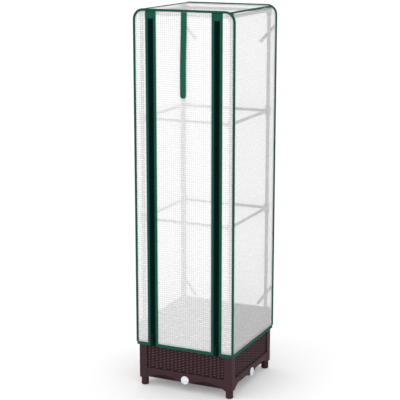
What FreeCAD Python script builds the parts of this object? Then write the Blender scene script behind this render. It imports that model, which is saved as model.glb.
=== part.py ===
import FreeCAD, Part
import math
import os
from types import SimpleNamespace

import Sketcher
from FreeCAD import Placement, Rotation, Vector

# Covered planter box: a woven-look planter on four posts, a tube frame that stands in the
# posts, and a sheet cover with a roll-up front door between two zips.
# Millimetres. The origin is on the floor under the middle of the planter, X runs along the
# front to the right, -Y points out of the front and Z is up.

# Driving dimensions, each one a cell of the spreadsheet

PLANTER_SIZES = {
    "planter_width": 385,
    "planter_height": 248,
    "post_width": 32,
    "post_edge_radius": 3,
    "foot_diameter": 28.5,
    "foot_height": 31,
    "foot_chamfer": 2.5,
    "tube_inset": 16,
    "socket_depth": 55,
    "panel_setback": 1,
    "weave_recess": 7,
    "weave_skin": 0.4,
    "weave_height": 3.2,
    "weave_groove": 1.2,
    "plate_thickness": 4,
    "plate_lap": 10,
    "tongue_length": 6,
    "slot_clearance": 0.2,
    "apron_bottom": 37,
    "apron_top": 73,
    "rim_bottom": 236,
    "arch_inner": 25,
    "arch_outer": 151,
    "arch_rise": 14.5,
    "apron_end_bottom": 32.5,
    "ledge_top": 100,
    "ledge_thickness": 3,
    "ledge_width": 6,
    "drain_height": 46.7,
    "drain_hole_diameter": 13,
    "tray_underside": 30,
    "tray_clearance": 0.5,
    "tray_wall": 2.5,
    "tray_corner_clearance": 1,
    "spout_diameter": 17,
    "grate_underside": 76,
    "grate_thickness": 3,
    "grate_slot_length": 62,
    "grate_slot_width": 5,
    "grate_slot_pitch": 80,
    "grate_row_pitch": 33,
    "grate_leg_width": 16,
    "plug_diameter": 32,
    "plug_flange": 4,
    "plug_grip_length": 20,
    "plug_grip_width": 3.6,
    "plug_grip_height": 3,
    "plug_stem_diameter": 12.8,
}

FRAME_SIZES = {
    "upright_diameter": 13,
    "rail_diameter": 11,
    "tube_wall": 0.8,
    "top_rail_height": 1412.3,
    "rail_spacing": 378.6,
    "tube_fit": 0.1,
    "joint_width": 17,
    "joint_chamfer": 3.5,
    "joint_reach": 18,
    "arm_width": 13,
    "arm_reach": 19,
    "spigot_length": 18,
}

COVER_SIZES = {
    "cover_width": 393.5,
    "cover_top": 1434,
    "shoulder_radius": 35,
    "sheet_thickness": 0.6,
    "edge_binding": 8.5,
    "edge_binding_chamfer": 2.6,
    "seam_binding": 6,
    "seam_binding_round": 2,
    "hem_bottom": 164.5,
    "hem_height": 12,
    "hem_thickness": 2,
    "hem_corner_gap": 0.4,
    "zip_offset": 130.7,
    "zip_band_width": 42.8,
    "zip_binding_width": 10.4,
    "zip_top": 1398.5,
    "zip_tape_thickness": 1.2,
    "zip_slit": 1.6,
    "zip_teeth_width": 2.8,
    "zip_teeth_height": 3.4,
    "door_gap": 0.3,
    "slider_bottom": 190,
    "slider_length": 20,
    "slider_width": 13,
    "slider_plate": 1.6,
    "slider_slot": 4.4,
    "slider_web": 1,
    "slider_lip_width": 2.3,
    "slider_lip_gap": 2,
    "pull_pin_rise": 12,
    "pull_pin_reach": 6.8,
    "pull_pin_diameter": 1.8,
    "pull_eye_diameter": 5.2,
    "pull_eye_hole": 2.4,
    "pull_eye_width": 3.4,
    "pull_length": 32,
    "pull_width": 8,
    "pull_neck": 8,
    "pull_thickness": 1.6,
    "lug_thickness": 1.5,
    "lug_height": 5.2,
    "lug_reach": 8.6,
    "strap_width": 22,
    "strap_thickness": 1.2,
    "strap_bottom": 1119,
    "strap_end_radius": 8,
    "strap_stand_off": 1.4,
    "strap_gap": 1.2,
    "tie_thickness": 0.8,
    "tie_width": 10.6,
    "tie_run": 58,
    "upper_tie_height": 1352,
    "upper_tie_drop": 60,
    "lower_tie_height": 330,
    "lower_tie_drop": 74,
}

DRIVING_SIZES = {**PLANTER_SIZES, **FRAME_SIZES, **COVER_SIZES}

WEAVE_COLUMNS = 20
KNOBS_PER_COLUMN = 10
GRATE_SLOTS_ACROSS = 4
GRATE_SLOT_ROWS = 9
QUARTER_TURN = 90
DIAGONAL = math.sqrt(0.5)
ROOF_SEAM_TILT = 30
SEAM_SINE = math.sin(math.radians(ROOF_SEAM_TILT))
SEAM_COSINE = math.cos(math.radians(ROOF_SEAM_TILT))
OVERLAP = 0.4
NEAR = 0.01


class Size:
    """A length in millimetres together with the spreadsheet formula that gives it."""

    def __init__(self, value, formula):
        self.value = value
        self.formula = formula

    def __add__(self, other):
        other = as_size(other)
        return Size(self.value + other.value, f"({self.formula} + {other.formula})")

    def __sub__(self, other):
        other = as_size(other)
        return Size(self.value - other.value, f"({self.formula} - {other.formula})")

    def __mul__(self, other):
        other = as_size(other)
        return Size(self.value * other.value, f"({self.formula} * {other.formula})")

    def __truediv__(self, other):
        other = as_size(other)
        return Size(self.value / other.value, f"({self.formula} / {other.formula})")

    def __neg__(self):
        return self * -1


def as_size(number):
    if isinstance(number, Size):
        return number
    return Size(float(number), str(float(number)))


def square_root(size):
    return Size(math.sqrt(size.value), f"sqrt({size.formula})")


doc = FreeCAD.newDocument("covered_planter_box")
table = doc.addObject("Spreadsheet::Sheet", "Sizes")
for row, (alias, value) in enumerate(DRIVING_SIZES.items(), start=1):
    table.set(f"A{row}", alias)
    table.set(f"B{row}", str(value))
    table.setAlias(f"B{row}", alias)
doc.recompute()
s = SimpleNamespace(**{a: Size(float(v), f"Sizes.{a}") for a, v in DRIVING_SIZES.items()})

sub_parts = []

# Sketching and feature helpers


def new_body(label):
    body = doc.addObject("PartDesign::Body", label)
    body.Label = label
    sub_parts.append(body)
    return body


def origin_part(body, role):
    return next(part for part in body.Origin.OriginFeatures if part.Role == role)


def new_sketch(body, plane, offset=0):
    """A sketch on one of the body's origin planes, moved along that plane's normal."""
    sketch = body.newObject("Sketcher::SketchObject", f"{body.Name}_sketch")
    sketch.AttachmentSupport = [(origin_part(body, plane), "")]
    sketch.MapMode = "FlatFace"
    sketch.setExpression("AttachmentOffset.Base.z", as_size(offset).formula)
    return sketch


def fix(sketch, kind, place, size):
    """Adds a dimension to a sketch and binds it to the spreadsheet."""
    size = as_size(size)
    number = sketch.addConstraint(Sketcher.Constraint(kind, *place, size.value))
    sketch.setExpression(f"Constraints[{number}]", size.formula)


def arc_between(start, end, radius, turn):
    """The shorter arc from start to end, counter-clockwise where turn is 1."""
    chord = end - start
    rise = math.sqrt(max(0.0, radius**2 - (chord.Length / 2) ** 2))
    left = Vector(-chord.y, chord.x, 0).normalize()
    centre = (start + end) * 0.5 + left * (rise * turn)
    first, last = (start, end) if turn > 0 else (end, start)
    angles = [math.atan2(p.y - centre.y, p.x - centre.x) for p in (first, last)]
    return Part.ArcOfCircle(Part.Circle(centre, Vector(0, 0, 1), radius), *angles)


def draw(sketch, corners, arcs=None, closed=True):
    """Draws sides through corners. arcs gives some sides, by number, a radius and a turn."""
    arcs = arcs or {}
    points = [Vector(as_size(x).value, as_size(y).value, 0) for x, y in corners]
    count = len(points)
    side_ends = []
    for side in range(count if closed else count - 1):
        start, end = points[side], points[(side + 1) % count]
        if side in arcs:
            radius, turn = arcs[side]
            drawn = sketch.addGeometry(arc_between(start, end, radius.value, turn))
            sketch_ends = (1, 2) if turn > 0 else (2, 1)
            fix(sketch, "Radius", (drawn,), radius)
        else:
            drawn = sketch.addGeometry(Part.LineSegment(start, end))
            sketch_ends = (1, 2)
        side_ends.append([(drawn, end_number) for end_number in sketch_ends])
    for corner, (x, y) in enumerate(corners):
        side = min(corner, len(side_ends) - 1)
        place = side_ends[side][corner - side]
        fix(sketch, "DistanceX", place, x)
        fix(sketch, "DistanceY", place, y)
    for side in range(0 if closed else 1, len(side_ends)):
        joined = (*side_ends[side - 1][1], *side_ends[side][0])
        sketch.addConstraint(Sketcher.Constraint("Coincident", *joined))


def rectangle(sketch, left, right, bottom, top):
    draw(sketch, [(left, bottom), (right, bottom), (right, top), (left, top)])


def circle(sketch, x, y, diameter):
    x, y, diameter = as_size(x), as_size(y), as_size(diameter)
    centre = Vector(x.value, y.value, 0)
    drawn = sketch.addGeometry(Part.Circle(centre, Vector(0, 0, 1), diameter.value / 2))
    fix(sketch, "DistanceX", (drawn, 3), x)
    fix(sketch, "DistanceY", (drawn, 3), y)
    fix(sketch, "Diameter", (drawn,), diameter)


def new_feature(sketch, kind, length, symmetric, backwards):
    body = sketch.getParentGeoFeatureGroup()
    feature = body.newObject(f"PartDesign::{kind}", f"{body.Name}_{kind}")
    feature.Profile = sketch
    feature.setExpression("Length", as_size(length).formula)
    feature.SideType = "Symmetric" if symmetric else "One side"
    feature.Reversed = backwards
    return feature


def pad(sketch, length, symmetric=False, backwards=False):
    return new_feature(sketch, "Pad", length, symmetric, backwards)


def pocket(sketch, length, symmetric=False, backwards=False):
    """Cuts against the sketch plane's normal, or along it where backwards."""
    return new_feature(sketch, "Pocket", length, symmetric, backwards)


def four_round(*features):
    """Repeats features four times round the planter's upright middle axis."""
    body = features[0].getParentGeoFeatureGroup()
    pattern = body.newObject("PartDesign::PolarPattern", f"{body.Name}_four_round")
    pattern.Originals = list(features)
    pattern.Axis = (origin_part(body, "Z_Axis"), [""])
    pattern.Angle = 360
    pattern.Occurrences = 4
    body.Tip = pattern
    return pattern


def in_a_row(feature, axis, length, count):
    body = feature.getParentGeoFeatureGroup()
    pattern = body.newObject("PartDesign::LinearPattern", f"{body.Name}_row")
    pattern.Originals = [feature]
    pattern.Direction = (origin_part(body, axis), [""])
    pattern.setExpression("Length", as_size(length).formula)
    pattern.Occurrences = count
    body.Tip = pattern
    return pattern


def dress_edges(body, kind, size_name, size, chosen):
    """Rounds or chamfers the edges of a body for which chosen(edge) is true."""
    doc.recompute()
    base = body.Tip
    names = [f"Edge{n}" for n, e in enumerate(base.Shape.Edges, start=1) if chosen(e)]
    dressing = body.newObject(f"PartDesign::{kind}", f"{body.Name}_{kind}")
    dressing.Base = (base, names)
    dressing.setExpression(size_name, size.formula)
    body.Tip = dressing


def square(sketch, x, y, width):
    """A square about a middle point."""
    x, y, half = as_size(x), as_size(y), width / 2
    rectangle(sketch, x - half, x + half, y - half, y + half)


def chamfered_square(sketch, x, y, width, chamfer):
    """A square about a middle point with its four corners cut off."""
    half = width / 2
    flat = half - chamfer
    quarter = [(half, -flat), (half, flat)]
    corners = []
    for _ in range(4):
        corners.extend((x + across, y + up) for across, up in quarter)
        quarter = [(-up, across) for across, up in quarter]
    draw(sketch, corners)


def turned_copy(label, original, quarter_turns):
    """A body with the original's shape, turned about the planter's upright middle axis."""
    body = new_body(label)
    copy = doc.addObject("PartDesign::FeatureBase", f"{label}_copy")
    copy.BaseFeature = original
    body.Group = [copy]
    body.Tip = copy
    body.Placement = Placement(Vector(), Rotation(Vector(0, 0, 1), quarter_turns * QUARTER_TURN))
    return body


def upright_slab(label, left, right, bottom, top, distance, thickness):
    """A flat piece facing the front, its middle plane at a distance forward of the origin."""
    body = new_body(label)
    sketch = new_sketch(body, "XZ_Plane", as_size(distance) - thickness / 2)
    rectangle(sketch, left, right, bottom, top)
    pad(sketch, thickness)
    return body


# Planter levels measured out from the middle, and up from the floor

half_width = s.planter_width / 2
post_inner = half_width - s.post_width
panel_face = half_width - s.panel_setback
weave_floor = half_width - s.weave_recess
plate_back = weave_floor - s.plate_thickness
ledge_edge = plate_back - s.ledge_width
tube_axis = half_width - s.tube_inset
plate_bottom = s.apron_top - s.plate_lap
tray_floor = s.tray_underside + s.tray_wall
tray_rim = s.ledge_top + s.tray_wall
tray_outside = ledge_edge - s.tray_clearance
tray_inside = tray_outside - s.tray_wall
tray_notch = post_inner - s.tray_corner_clearance


# Woven panels. Each column of the weave is a ridged strip, and every other column is
# shifted by half a ridge, so that the ridges pass over and under as woven strands do.


def weave_columns(body, first_column, starts_on_a_ridge):
    column = post_inner * 2 / WEAVE_COLUMNS
    knob = (s.rim_bottom - s.apron_top) / KNOBS_PER_COLUMN
    low = weave_floor + s.weave_skin
    high = low + s.weave_height
    inside_plate = weave_floor - s.plate_thickness / 4
    corners = [(-inside_plate, s.apron_top)]
    for step in range(2 * KNOBS_PER_COLUMN + 1):
        on_ridge = (step % 2 == 0) == starts_on_a_ridge
        corners.append((-(high if on_ridge else low), s.apron_top + knob * (step / 2)))
    corners.append((-inside_plate, s.rim_bottom))
    left_side = column * first_column + s.weave_groove / 2 - post_inner
    sketch = new_sketch(body, "YZ_Plane", left_side)
    draw(sketch, corners)
    strip = pad(sketch, column - s.weave_groove)
    in_a_row(strip, "X_Axis", column * (WEAVE_COLUMNS - 2), WEAVE_COLUMNS // 2)


def woven_panel(label):
    body = new_body(label)
    tongue_end = post_inner + s.tongue_length
    plate = new_sketch(body, "XZ_Plane", plate_back)
    rectangle(plate, -tongue_end, tongue_end, plate_bottom, s.planter_height)
    pad(plate, s.plate_thickness)
    weave_columns(body, 0, False)
    weave_columns(body, 1, True)

    arch_chord = s.arch_outer - s.arch_inner
    arch_radius = (arch_chord * arch_chord / 4 + s.arch_rise * s.arch_rise) / (s.arch_rise * 2)
    apron = new_sketch(body, "XZ_Plane", plate_back)
    draw(
        apron,
        [
            (-post_inner, s.apron_top),
            (-post_inner, s.apron_end_bottom),
            (-s.arch_outer, s.apron_bottom),
            (-s.arch_inner, s.apron_bottom),
            (s.arch_inner, s.apron_bottom),
            (s.arch_outer, s.apron_bottom),
            (post_inner, s.apron_end_bottom),
            (post_inner, s.apron_top),
        ],
        arcs={2: (arch_radius, -1), 4: (arch_radius, -1)},
    )
    pad(apron, panel_face - plate_back)

    rim = new_sketch(body, "XZ_Plane", plate_back)
    rectangle(rim, -post_inner, post_inner, s.rim_bottom, s.planter_height)
    pad(rim, panel_face - plate_back)

    ledge = new_sketch(body, "XZ_Plane", ledge_edge)
    rectangle(ledge, -tray_notch, tray_notch, s.ledge_top - s.ledge_thickness, s.ledge_top)
    pad(ledge, s.ledge_width)

    drain = new_sketch(body, "XZ_Plane", half_width)
    circle(drain, 0, s.drain_height, s.drain_hole_diameter)
    pocket(drain, half_width - ledge_edge)
    return body


front_panel = woven_panel("front_panel")
turned_copy("right_panel", front_panel, 1)
turned_copy("rear_panel", front_panel, 2)
turned_copy("left_panel", front_panel, 3)


# Corner posts, each with a round foot, two slots for the panels' tongues and a tube socket


def on_outer_corner(edge):
    corner = -half_width.value
    return all(abs(v.X - corner) < NEAR and abs(v.Y - corner) < NEAR for v in edge.Vertexes)


def on_floor(edge):
    return abs(edge.BoundBox.ZMin) < NEAR and abs(edge.BoundBox.ZMax) < NEAR


def corner_post(label):
    body = new_body(label)
    block = new_sketch(body, "XY_Plane", s.foot_height)
    rectangle(block, -half_width, -post_inner, -half_width, -post_inner)
    pad(block, s.planter_height - s.foot_height)
    dress_edges(body, "Fillet", "Radius", s.post_edge_radius, on_outer_corner)
    foot = new_sketch(body, "XY_Plane")
    circle(foot, -tube_axis, -tube_axis, s.foot_diameter)
    pad(foot, s.foot_height + OVERLAP)
    dress_edges(body, "Chamfer", "Size", s.foot_chamfer, on_floor)

    slot_end = post_inner + s.tongue_length + s.slot_clearance
    slot_outer = weave_floor + s.slot_clearance / 2
    slot_inner = plate_back - s.slot_clearance / 2
    slots = new_sketch(body, "XY_Plane", s.planter_height)
    rectangle(slots, -slot_end, -post_inner, -slot_outer, -slot_inner)
    rectangle(slots, -slot_outer, -slot_inner, -slot_end, -post_inner)
    pocket(slots, s.planter_height - plate_bottom)

    socket = new_sketch(body, "XY_Plane", s.planter_height)
    circle(socket, -tube_axis, -tube_axis, s.upright_diameter + s.tube_fit)
    pocket(socket, s.socket_depth)
    return body


front_left_post = corner_post("front_left_post")
turned_copy("front_right_post", front_left_post, 1)
turned_copy("rear_right_post", front_left_post, 2)
turned_copy("rear_left_post", front_left_post, 3)


# Water tray, hung by its rim from the panels' ledges, and the grate that stands in it


def notched_square(sketch, reach, notch):
    """A square outline with its four corners cut back to clear the posts."""
    quarter = [(notch, -reach), (notch, -notch), (reach, -notch)]
    corners = []
    for _ in range(4):
        corners.extend(quarter)
        quarter = [(-y, x) for x, y in quarter]
    draw(sketch, corners)


tray = new_body("base_tray")
shell = new_sketch(tray, "XY_Plane", s.tray_underside)
notched_square(shell, tray_outside, tray_notch)
pad(shell, tray_rim - s.tray_underside)
rim_lip = new_sketch(tray, "XY_Plane", s.ledge_top)
notched_square(rim_lip, plate_back - s.tray_clearance, tray_notch)
pad(rim_lip, s.tray_wall)
spout = new_sketch(tray, "XZ_Plane", tray_inside)
circle(spout, 0, s.drain_height, s.spout_diameter)
four_round(pad(spout, plate_back - s.tray_clearance - tray_inside))
hollow = new_sketch(tray, "XY_Plane", tray_rim)
notched_square(hollow, tray_inside, tray_notch - s.tray_wall)
pocket(hollow, tray_rim - tray_floor)
outlet = new_sketch(tray, "XZ_Plane", half_width)
circle(outlet, 0, s.drain_height, s.drain_hole_diameter)
four_round(pocket(outlet, half_width - tray_inside + s.tray_wall))

grate = new_body("soil_grate")
plate = new_sketch(grate, "XY_Plane", s.grate_underside)
grate_clearance = s.tray_clearance * 2
notched_square(plate, tray_inside - grate_clearance, tray_notch - s.tray_wall - grate_clearance)
pad(plate, s.grate_thickness)
leg = new_sketch(grate, "XY_Plane", tray_floor)
square(leg, s.grate_slot_pitch, s.grate_slot_pitch, s.grate_leg_width)
four_round(pad(leg, s.grate_underside - tray_floor + OVERLAP))
slots = new_sketch(grate, "XY_Plane", s.grate_underside + s.grate_thickness)
first_row = -s.grate_row_pitch * (GRATE_SLOT_ROWS - 1) / 2
half_length = s.grate_slot_length / 2
half_slot = s.grate_slot_width / 2
for place in range(GRATE_SLOTS_ACROSS):
    middle = s.grate_slot_pitch * (place - (GRATE_SLOTS_ACROSS - 1) / 2)
    rectangle(slots, middle - half_length, middle + half_length, first_row - half_slot, first_row + half_slot)
first_slots = pocket(slots, s.grate_thickness)
in_a_row(first_slots, "Y_Axis", s.grate_row_pitch * (GRATE_SLOT_ROWS - 1), GRATE_SLOT_ROWS)


# Drain plugs: a cap with a grip bar, on a stem that closes the tray's spout


def drain_plug(label):
    body = new_body(label)
    rim_radius = s.plug_diameter / 2
    stem_radius = s.plug_stem_diameter / 2
    cap_face = panel_face + s.plug_flange
    stem_end = tray_inside - s.tray_wall / 2
    profile = new_sketch(body, "XY_Plane", s.drain_height)
    draw(
        profile,
        [
            (0, -stem_end),
            (stem_radius, -stem_end),
            (stem_radius, -panel_face),
            (rim_radius, -panel_face),
            (rim_radius, -cap_face),
            (0, -cap_face),
        ],
    )
    turning = body.newObject("PartDesign::Revolution", f"{label}_turning")
    turning.Profile = profile
    turning.ReferenceAxis = (profile, ["V_Axis"])
    turning.Angle = 360
    grip = new_sketch(body, "XZ_Plane", cap_face - OVERLAP)
    grip_half = s.plug_grip_width / 2
    rectangle(
        grip,
        -s.plug_grip_length / 2,
        s.plug_grip_length / 2,
        s.drain_height - grip_half,
        s.drain_height + grip_half,
    )
    pad(grip, s.plug_grip_height + OVERLAP)
    return body


front_drain_plug = drain_plug("front_drain_plug")
turned_copy("right_drain_plug", front_drain_plug, 1)
turned_copy("rear_drain_plug", front_drain_plug, 2)
turned_copy("left_drain_plug", front_drain_plug, 3)


# Tube frame: uprights in three lengths, and a square of rails with its joints at each level

levels = [s.top_rail_height - s.rail_spacing * step for step in (2, 1, 0)]


def four_uprights(label, bottom, top):
    body = new_body(label)
    ring = new_sketch(body, "XY_Plane", bottom)
    circle(ring, -tube_axis, -tube_axis, s.upright_diameter)
    circle(ring, -tube_axis, -tube_axis, s.upright_diameter - s.tube_wall * 2)
    four_round(pad(ring, top - bottom))


def four_rails(label, level):
    body = new_body(label)
    ring = new_sketch(body, "YZ_Plane")
    circle(ring, -tube_axis, level, s.rail_diameter)
    circle(ring, -tube_axis, level, s.rail_diameter - s.tube_wall * 2)
    four_round(pad(ring, (tube_axis - s.arm_reach) * 2, symmetric=True))


def spigot_width(tube_diameter):
    """The widest square that goes into a tube."""
    return (tube_diameter - s.tube_wall * 2 - s.tube_fit) * DIAGONAL


def four_joints(label, level, top, open_above):
    """Moulded corner blocks with two arms, and square spigots that go into the tubes' ends."""
    body = new_body(label)
    block_bottom = level - s.joint_reach
    block = new_sketch(body, "XY_Plane", block_bottom)
    chamfered_square(block, -tube_axis, -tube_axis, s.joint_width, s.joint_chamfer)
    upright_spigot = new_sketch(body, "XY_Plane", block_bottom - s.spigot_length)
    square(upright_spigot, -tube_axis, -tube_axis, spigot_width(s.upright_diameter))
    spigot_top = top + s.spigot_length if open_above else level
    features = [
        pad(block, top - block_bottom),
        pad(upright_spigot, spigot_top - block_bottom + s.spigot_length),
    ]
    arm_sizes = ((s.arm_width, s.arm_reach), (spigot_width(s.rail_diameter), s.arm_reach + s.spigot_length))
    for width, reach in arm_sizes:
        along_x = new_sketch(body, "YZ_Plane", -tube_axis)
        square(along_x, -tube_axis, level, width)
        features.append(pad(along_x, reach))
        along_y = new_sketch(body, "XZ_Plane", tube_axis)
        square(along_y, -tube_axis, level, width)
        features.append(pad(along_y, reach, backwards=True))
    four_round(*features)
    return body


four_uprights("lower_uprights", s.planter_height - s.socket_depth, levels[0] - s.joint_reach)
four_uprights("middle_uprights", levels[0] + s.joint_reach, levels[1] - s.joint_reach)
four_uprights("upper_uprights", levels[1] + s.joint_reach, levels[2] - s.joint_reach)
four_rails("lower_rails", levels[0])
four_rails("middle_rails", levels[1])
four_rails("top_rails", levels[2])
four_joints("lower_joints", levels[0], levels[0] + s.joint_reach, True)
four_joints("middle_joints", levels[1], levels[1] + s.joint_reach, True)
top_joints = four_joints("top_joints", levels[2], s.cover_top, False)

# Cover levels. Sheets are centred on these planes, and the roof's shoulders are rounded
# about two axes that run from front to rear.

cover_half = s.cover_width / 2
binding_half = s.edge_binding / 2
roof_level = s.cover_top - binding_half
sheet_half = s.sheet_thickness / 2
shoulder_x = cover_half - s.shoulder_radius
shoulder_z = roof_level - s.shoulder_radius
sheet_inner_radius = s.shoulder_radius - sheet_half
sheet_outer_radius = s.shoulder_radius + sheet_half
seam_half = s.seam_binding / 2
hem_top = s.hem_bottom + s.hem_height
panel_edge = cover_half - binding_half
panel_top = roof_level - binding_half
panel_corner_radius = s.shoulder_radius - binding_half

# The top joints end in saddles that follow the sheet, so they carry the cover

saddles = new_sketch(top_joints, "XZ_Plane")
above_cover = s.cover_top + s.joint_width
for side in (-1, 1):
    draw(
        saddles,
        [
            ((shoulder_x + sheet_inner_radius) * side, shoulder_z),
            (shoulder_x * side, shoulder_z + sheet_inner_radius),
            (shoulder_x * side, above_cover),
            ((cover_half + s.joint_width) * side, above_cover),
            ((cover_half + s.joint_width) * side, shoulder_z),
        ],
        arcs={0: (sheet_inner_radius, side)},
    )
pocket(saddles, s.cover_width, symmetric=True)

# Bound edges: a rounded tape along the outline of the front and of the rear


def edge_binding(label):
    body = new_body(label)
    path = new_sketch(body, "XZ_Plane", cover_half)
    draw(
        path,
        [
            (-cover_half, hem_top),
            (-cover_half, shoulder_z),
            (-shoulder_x, roof_level),
            (shoulder_x, roof_level),
            (cover_half, shoulder_z),
            (cover_half, hem_top),
        ],
        arcs={1: (s.shoulder_radius, -1), 3: (s.shoulder_radius, -1)},
        closed=False,
    )
    profile = new_sketch(body, "XY_Plane", hem_top)
    chamfered_square(profile, -cover_half, -cover_half, s.edge_binding, s.edge_binding_chamfer)
    sweep = body.newObject("PartDesign::AdditivePipe", f"{label}_sweep")
    sweep.Profile = profile
    sweep.Spine = (path, [f"Edge{number}" for number in range(1, 6)])
    return body


front_edge_binding = edge_binding("front_edge_binding")
turned_copy("rear_edge_binding", front_edge_binding, 2)


def shoulder_seam(label, side):
    """A bound seam along a rounded shoulder, tilted out from upright, on the outside of the sheet."""
    body = new_body(label)
    inner = sheet_inner_radius
    outer = inner + s.seam_binding
    rounding = s.seam_binding_round
    profile = new_sketch(body, "XZ_Plane")
    draw(
        profile,
        [
            (-seam_half, inner),
            (seam_half, inner),
            (seam_half, outer - rounding),
            (seam_half - rounding, outer),
            (rounding - seam_half, outer),
            (-seam_half, outer - rounding),
        ],
        arcs={2: (rounding, 1), 4: (rounding, 1)},
    )
    pad(profile, panel_edge * 2, symmetric=True)
    body.Placement = Placement(Vector(), Rotation(Vector(0, 1, 0), ROOF_SEAM_TILT * side))
    body.setExpression("Placement.Base.x", (shoulder_x * side).formula)
    body.setExpression("Placement.Base.z", shoulder_z.formula)


shoulder_seam("left_roof_binding", -1)
shoulder_seam("right_roof_binding", 1)

# Cover sheets


def beside_seam(radius, side, above):
    """Where a sheet surface of this radius meets the seam binding's flat side."""
    along = square_root(radius * radius - seam_half * seam_half)
    towards_roof = 1 if above else -1
    sideways = along * SEAM_SINE - seam_half * (SEAM_COSINE * towards_roof)
    upwards = along * SEAM_COSINE + seam_half * (SEAM_SINE * towards_roof)
    return (shoulder_x + sideways) * side, shoulder_z + upwards


def side_wall(label, side):
    body = new_body(label)
    profile = new_sketch(body, "XZ_Plane")
    draw(
        profile,
        [
            ((cover_half + sheet_half) * side, hem_top),
            ((cover_half + sheet_half) * side, shoulder_z),
            beside_seam(sheet_outer_radius, side, False),
            beside_seam(sheet_inner_radius, side, False),
            ((cover_half - sheet_half) * side, shoulder_z),
            ((cover_half - sheet_half) * side, hem_top),
        ],
        arcs={1: (sheet_outer_radius, side), 3: (sheet_inner_radius, -side)},
    )
    pad(profile, panel_edge * 2, symmetric=True)


side_wall("cover_left_wall", -1)
side_wall("cover_right_wall", 1)

roof = new_body("cover_roof")
roof_profile = new_sketch(roof, "XZ_Plane")
draw(
    roof_profile,
    [
        beside_seam(sheet_outer_radius, -1, True),
        (-shoulder_x, roof_level + sheet_half),
        (shoulder_x, roof_level + sheet_half),
        beside_seam(sheet_outer_radius, 1, True),
        beside_seam(sheet_inner_radius, 1, True),
        (shoulder_x, roof_level - sheet_half),
        (-shoulder_x, roof_level - sheet_half),
        beside_seam(sheet_inner_radius, -1, True),
    ],
    arcs={
        0: (sheet_outer_radius, -1),
        2: (sheet_outer_radius, -1),
        4: (sheet_inner_radius, 1),
        6: (sheet_inner_radius, 1),
    },
)
pad(roof_profile, panel_edge * 2, symmetric=True)

zip_half = s.zip_band_width / 2
zip_outer = s.zip_offset + zip_half
zip_inner = s.zip_offset - zip_half


rear_wall = new_body("cover_rear_wall")
rear_outline = new_sketch(rear_wall, "XZ_Plane", -cover_half - sheet_half)
corner_start = panel_edge - panel_corner_radius
corner_end = panel_top - panel_corner_radius
draw(
    rear_outline,
    [
        (-panel_edge, hem_top),
        (panel_edge, hem_top),
        (panel_edge, corner_end),
        (corner_start, panel_top),
        (-corner_start, panel_top),
        (-panel_edge, corner_end),
    ],
    arcs={2: (panel_corner_radius, 1), 4: (panel_corner_radius, 1)},
)
pad(rear_outline, s.sheet_thickness)

for name, side in (("left", -1), ("right", 1)):
    strip = new_body(f"cover_front_{name}_strip")
    strip_outline = new_sketch(strip, "XZ_Plane", cover_half - sheet_half)
    draw(
        strip_outline,
        [
            (zip_outer * side, hem_top),
            (panel_edge * side, hem_top),
            (panel_edge * side, corner_end),
            (corner_start * side, panel_top),
            (zip_outer * side, panel_top),
        ],
        arcs={2: (panel_corner_radius, side)},
    )
    pad(strip_outline, s.sheet_thickness)

hem = new_body("hem_binding")
hem_half = s.hem_thickness / 2
hem_outer = cover_half + hem_half
hem_inner = cover_half - hem_half
hem_end = hem_inner - s.hem_corner_gap
hem_strips = new_sketch(hem, "XY_Plane", s.hem_bottom)
for side in (-1, 1):
    rectangle(hem_strips, hem_inner * side, hem_outer * side, -hem_outer, hem_outer)
    rectangle(hem_strips, zip_outer * side, hem_end * side, -hem_outer, -hem_inner)
rectangle(hem_strips, -hem_end, hem_end, hem_inner, hem_outer)
pad(hem_strips, s.hem_height)

# Zips: a green binding, a dark tape and a row of teeth on each side of a narrow slit


def zip_tape(label, side, outward):
    """One half of a zip; outward is 1 for the half on the cover and -1 for the door's."""
    tape_edge = s.zip_offset + (zip_half - s.zip_binding_width) * outward
    teeth_start = s.zip_offset + s.zip_slit / 2 * outward
    teeth_end = teeth_start + s.zip_teeth_width * outward
    thin = s.zip_tape_thickness / 2
    thick = s.zip_teeth_height / 2
    body = new_body(label)
    profile = new_sketch(body, "XY_Plane", s.hem_bottom)
    corners = [
        (tape_edge, thin),
        (teeth_end, thin),
        (teeth_end, thick),
        (teeth_start, thick),
        (teeth_start, -thick),
        (teeth_end, -thick),
        (teeth_end, -thin),
        (tape_edge, -thin),
    ]
    draw(profile, [(x * side, -cover_half - y) for x, y in corners])
    pad(profile, s.zip_top - s.hem_bottom)


def zip_binding(label, side, outward):
    upright_slab(
        label,
        (s.zip_offset + (zip_half - s.zip_binding_width) * outward) * side,
        (s.zip_offset + zip_half * outward) * side,
        s.hem_bottom,
        s.zip_top,
        cover_half,
        s.hem_thickness,
    )


for name, side in (("left", -1), ("right", 1)):
    zip_tape(f"{name}_zip_frame_tape", side, 1)
    zip_tape(f"{name}_zip_door_tape", side, -1)
    zip_binding(f"{name}_zip_frame_binding", side, 1)
    zip_binding(f"{name}_zip_door_binding", side, -1)
    upright_slab(
        f"{name}_zip_top_patch",
        (zip_inner + s.door_gap) * side,
        zip_outer * side,
        s.zip_top,
        panel_top,
        cover_half,
        s.hem_thickness,
    )

upright_slab("door_sheet", -zip_inner, zip_inner, hem_top, panel_top, cover_half, s.sheet_thickness)
upright_slab("door_hem", -zip_inner, zip_inner, s.hem_bottom, hem_top, cover_half, s.hem_thickness)

# Zip sliders: two plates joined by a web that runs in the slit, with lugs and a pin in front

pin_height = s.slider_bottom + s.pull_pin_rise
pin_distance = cover_half + s.pull_pin_reach


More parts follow.
